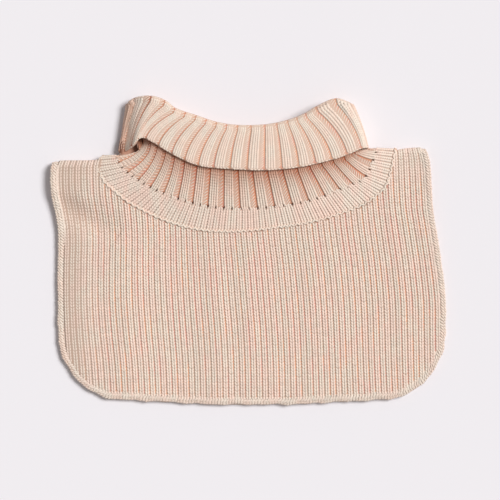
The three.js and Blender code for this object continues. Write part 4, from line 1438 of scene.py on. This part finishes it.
def collar_cloth(material):
    """The collar's ground, a closed mesh whose sections go up the outer side of the neck, over
    the roll and down the cuff, and come back on the other side of the cloth."""
    rows = GROUND_PLACES
    places = np.linspace(0, COLLAR_LENGTH, rows)
    rib, middle = collar_grid(GROUND_SAMPLES, places)
    ribs, places = rib[:, None], places[None, :]
    normals = grid_normals(middle)
    normals[:, 0] = ring_normal("base", rib)
    half = column(wall_at(rib) / 2)
    thin = half / (WALL / 2)
    on_cuff = np.clip((places - ROLL_START) / (ROLL_TOP - ROLL_START), 0, 1)
    on_neck = 1 - on_cuff
    profile = rib_profile(ribs)
    neck_profile = rib_profile(neck_count(ribs))
    neck_depth = thin * (NECK_SUNK + NECK_FURROW * neck_profile)
    cuff_depth = thin * (CUFF_SUNK + CUFF_FURROW * profile)
    outer = middle + normals * column(half - neck_depth * on_neck)
    inner = middle - normals * column(half - cuff_depth * on_cuff)
    tip = middle[:, -1] + unit(middle[:, -1] - middle[:, -2]) * EDGE_ROUND
    sections = np.concatenate([outer, tip[:, None], inner[:, ::-1]], axis=1)
    furrow = np.repeat(profile, rows, axis=1)
    neck_furrow = np.repeat(neck_profile**0.7, rows, axis=1)
    ahead = from_left_end(ribs)
    beside_end = np.where(ahead < 0, 0, np.clip(1 - ahead / SIDE_FURROW_RIBS, 0, 1))
    near_roll = np.clip(1 - (places - ROLL_END) / END_FURROW_REACH, 0, 1)
    end_furrows = furrow * np.clip(1 - np.abs(ahead) / END_FURROW_RIBS, 0, 1) * near_roll
    # the ground's painted shade: under the stitches, in the furrows, eyelets and hollow, below the cuff
    # and at its left end
    values = {  # on the neck's side of the cloth, at its edge, and on the cuff's side
        "covered": (on_neck, 1, on_cuff),
        "furrow": (neck_furrow, 0, furrow),
        "dark_shade": (
            np.maximum(NECK_EYELET_DARK_SHADE * eyelet_mask(ribs, places), hollow(ribs, places)),
            0,
            END_FURROW_DARK_SHADE * end_furrows,
        ),
        "shade": (
            neck_shade(ribs, places) + NECK_FURROW_SHADE * neck_furrow * on_neck,
            0,
            cuff_shade(ribs) + SIDE_FURROW_SHADE * beside_end * furrow,
        ),
    }
    shape = (len(rib), rows)
    attributes = {}
    for name, (on_outer, at_edge, on_inner) in values.items():
        sides = [np.broadcast_to(on_outer, shape), np.full((len(rib), 1), at_edge)]
        sides.append(np.broadcast_to(on_inner, shape)[:, ::-1])
        attributes[name] = np.concatenate(sides, axis=1).ravel()
    faces = [ring_faces(len(rib), sections.shape[1])]
    return new_piece("roll_collar_cloth", sections.reshape(-1, 3), faces, material, attributes)


STITCH_SUNK = 0.3  # how far a stitch's middle lies below the face
MOST_SAG = 1.2  # the most that its ends bend down with it
LEG_LEAN = 6  # in degrees
LEG_LENGTH = 0.9  # half of it, as a part of a row
HATCH_LEAN = 48
HATCH_LENGTH = 1.4  # as a part of the ribs' spacing
HATCH_WIDTH = 0.45  # half the width of a slanted stitch
COLLAR_SIDES = {  # phases are parts of a rib, and stitches' widths parts of their spacing
    "neck": {
        "side": 1,
        "places": (-0.5, NECK_PLACE + 7),
        "legs": (0.085, 0.235, 0.385, 0.535),
        "hatch": 0.77,
        "hatch_course": NECK_HATCH,
        "furrow": NECK_FURROW,
        "leg_width": 0.54,
        "leg_height": 0.42,
        "hatch_height": 0.42,
    },
    "cuff": {
        "side": -1,
        "places": (ROLL_START + 2.5, COLLAR_LENGTH - 0.6),
        "legs": (0.08, 0.23, 0.38, 0.53),
        "hatch": 0.785,
        "hatch_course": CUFF_HATCH,
        "furrow": CUFF_FURROW,
        "leg_width": 0.72,
        "leg_height": 0.34,
        "hatch_height": 0.4,
    },
}


def collar_stitches(name, ribs, material):
    """The stitches of one side of the collar: plain legs on each rib, and slanted ones on its
    right flank."""
    made = COLLAR_SIDES[name]
    side, legs = made["side"], made["legs"]
    start, end = made["places"]
    face = CollarFace(side)
    starts, spans = np.array(ribs).T
    spacing = (legs[1] - legs[0]) / 2
    sets = []
    for phase in (*legs, made["hatch"]):
        hatch = phase == made["hatch"]
        courses = int((end - start) / (made["hatch_course"] if hatch else COLLAR_COURSE))
        places = start + (np.arange(courses) + 0.5) * (end - start) / courses
        rib, place = (v.ravel() for v in np.meshgrid(starts + phase * spans, places, indexing="ij"))
        place = place + RNG.normal(0, 0.05, len(place))
        p, across, up, normal = face_frame(face, rib, place)
        normal, up = normal * side, up * side
        thin = wall_at(rib) / WALL
        beside_furrow = FIRST_LEG_SUNK if phase == legs[0] else 0
        depth = thin * (made["furrow"] * rib_profile(phase) + STITCH_SUNK + beside_furrow)
        centre = p - normal * column(depth)
        step = spacing * np.repeat(spans, courses)
        width = apart(face.points(rib + step, place), face.points(rib - step, place))
        tone = tones(len(rib), spread=0.22)
        if hatch:
            lean, half_length = math.radians(HATCH_LEAN), width * HATCH_LENGTH
            half_width, half_height = np.full(len(rib), HATCH_WIDTH), thin * made["hatch_height"]
        else:
            lean = math.radians(LEG_LEAN if phase in legs[1::2] else -LEG_LEAN)
            half_length = np.full(len(rib), COLLAR_COURSE * LEG_LENGTH)
            half_width, half_height = width * made["leg_width"], thin * made["leg_height"]
        along = up * math.cos(lean) + across * math.sin(lean)
        reach = half_length * math.cos(lean)
        ends = (face.points(rib, place - reach) + face.points(rib, place + reach)) / 2
        sag = np.clip(((p - ends) * normal).sum(axis=1), 0, MOST_SAG)
        shade = cuff_shade(rib)
        if name == "neck":
            shade = neck_shade(rib, place)
            aside, narrower = beside_eyelet(rib, place)
            centre = centre + across * column(aside)
            half_width = half_width * narrower
        size = (half_length, half_width, half_height)
        sets.append(grains(centre, along, normal, *size, tone, sag, shade))
    return grain_piece(f"{name}_stitches", sets, material)


KNOBS_PER_RIB = 5
KNOB = (0.8, 0.85)  # half width and half height
KNOB_LENGTH = 0.62  # half of it, as a part of the distance between two of them
KNOB_INWARD = 0.28  # how far into the cloth it lies, as a part of its thickness
KNOB_UPWARD = 0.35
NOTCH_INWARD = 0.4  # how much further in, and down, a furrow takes it
NOTCH_DOWN = 0.5
EDGE_CLOSE = 0.2  # how near to the end of the cloth the knobs are measured


def cuff_edge(material):
    """The cuff's cast-off edge, a row of small knobs."""
    count = COLLAR_RIBS * KNOBS_PER_RIB
    rib = np.arange(count) / KNOBS_PER_RIB
    face = CollarFace(-1)
    place = np.full(count, COLLAR_LENGTH - EDGE_CLOSE)
    p, across, up, normal = face_frame(face, rib, place)
    notch = rib_profile(rib)
    inward = wall_at(rib) * KNOB_INWARD + NOTCH_INWARD * notch
    upward = KNOB_UPWARD - NOTCH_DOWN * notch
    centre = p + normal * column(inward) + up * column(upward)
    run = apart(face.points(rib + 0.1, place), face.points(rib - 0.1, place))
    along = across + up * column(RNG.normal(0.1, 0.25, count))
    tone = tones(count, middle=0.7)
    knobs = grains(centre, along, -normal, run * KNOB_LENGTH, *KNOB, tone)
    return grain_piece("cuff_edge", [knobs], material)


def roll_collar():
    cloth = collar_cloth(ground_material("collar_ground"))
    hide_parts("roll_collar")
    yarn = yarn_material("collar_yarn")
    front = [(rib, 1) for rib in range(-1, FRONT_RIBS - 1)]  # where a rib starts, and its width
    front += [(FRONT_RIBS - 1, 0.5), (FRONT_RIBS - 0.5, 0.5), (FRONT_RIBS, 1)]
    neck = collar_stitches("neck", front, yarn)
    everywhere = [(rib, 1) for rib in range(COLLAR_RIBS)]
    cuff = collar_stitches("cuff", everywhere, yarn)
    edge = cuff_edge(yarn)
    return cloth, [neck, cuff, edge], yarn


# Setting

PIXEL = 0.72 * MM  # one pixel of the photograph
FRAME_PIXELS = 500
SENSOR = 36
CAMERA_DISTANCE = 1.8
FRAME_CENTRE = Vector((1.08, 0.54, 9)) * MM


def camera():
    """Straight above, with the photograph's frame."""
    data = bpy.data.cameras.new("camera")
    data.sensor_width = SENSOR
    data.lens = SENSOR * CAMERA_DISTANCE / (FRAME_PIXELS * PIXEL)
    data.clip_end = 20
    made = bpy.data.objects.new("camera", data)
    made.location = FRAME_CENTRE + Vector((0, 0, CAMERA_DISTANCE))
    bpy.context.collection.objects.link(made)
    bpy.context.scene.camera = made


FLOOR_REACH = 3.0  # in metres
FLOOR_SUNK = 0.2


def floor():
    mesh = bpy.data.meshes.new("floor")
    square = ((-1, -1), (1, -1), (1, 1), (-1, 1))
    corners = [(x * FLOOR_REACH, y * FLOOR_REACH, 0) for x, y in square]
    mesh.from_pydata(corners, [], [(0, 1, 2, 3)])
    material = bpy.data.materials.new("floor_paper")
    material.use_nodes = True
    shader = material.node_tree.nodes["Principled BSDF"]
    shader.inputs["Base Color"].default_value = linear(238, 236, 240)
    shader.inputs["Roughness"].default_value = 0.9
    shader.inputs["Specular IOR Level"].default_value = 0.1
    mesh.materials.append(material)
    plane = bpy.data.objects.new("floor", mesh)
    bpy.context.collection.objects.link(plane)
    plane.location.z = -FLOOR_SUNK * MM


def window_light(name, azimuth, elevation, spread, strength, colour):
    """A far, broad light. Its azimuth is measured from +X towards +Y."""
    data = bpy.data.lights.new(name, "SUN")
    data.angle = math.radians(spread)
    data.energy = strength
    data.color = colour
    lamp = bpy.data.objects.new(name, data)
    a, e = math.radians(azimuth), math.radians(elevation)
    direction = Vector((math.cos(a) * math.cos(e), math.sin(a) * math.cos(e), math.sin(e)))
    lamp.rotation_euler = direction.to_track_quat("Z", "Y").to_euler()
    bpy.context.collection.objects.link(lamp)


def studio():
    world = bpy.data.worlds.new("studio")
    world.use_nodes = True
    background = world.node_tree.nodes["Background"]
    background.inputs["Color"].default_value = (1.0, 0.97, 0.955, 1)
    background.inputs["Strength"].default_value = 0.32
    bpy.context.scene.world = world
    bpy.context.scene.view_settings.view_transform = "Standard"
    window_light(
        "key", azimuth=24, elevation=53, spread=24, strength=2.78, colour=(1.0, 0.99, 0.985),
    )


camera()
floor()
studio()

front_sheet, front_stitch_pieces = front_bib()
back_sheet = back_bib()
front_hem, hem_row, back_hem = hems()
band, band_row = neck_band()
collar, collar_rows, collar_yarn = roll_collar()
chain = seam_chain(collar_yarn)
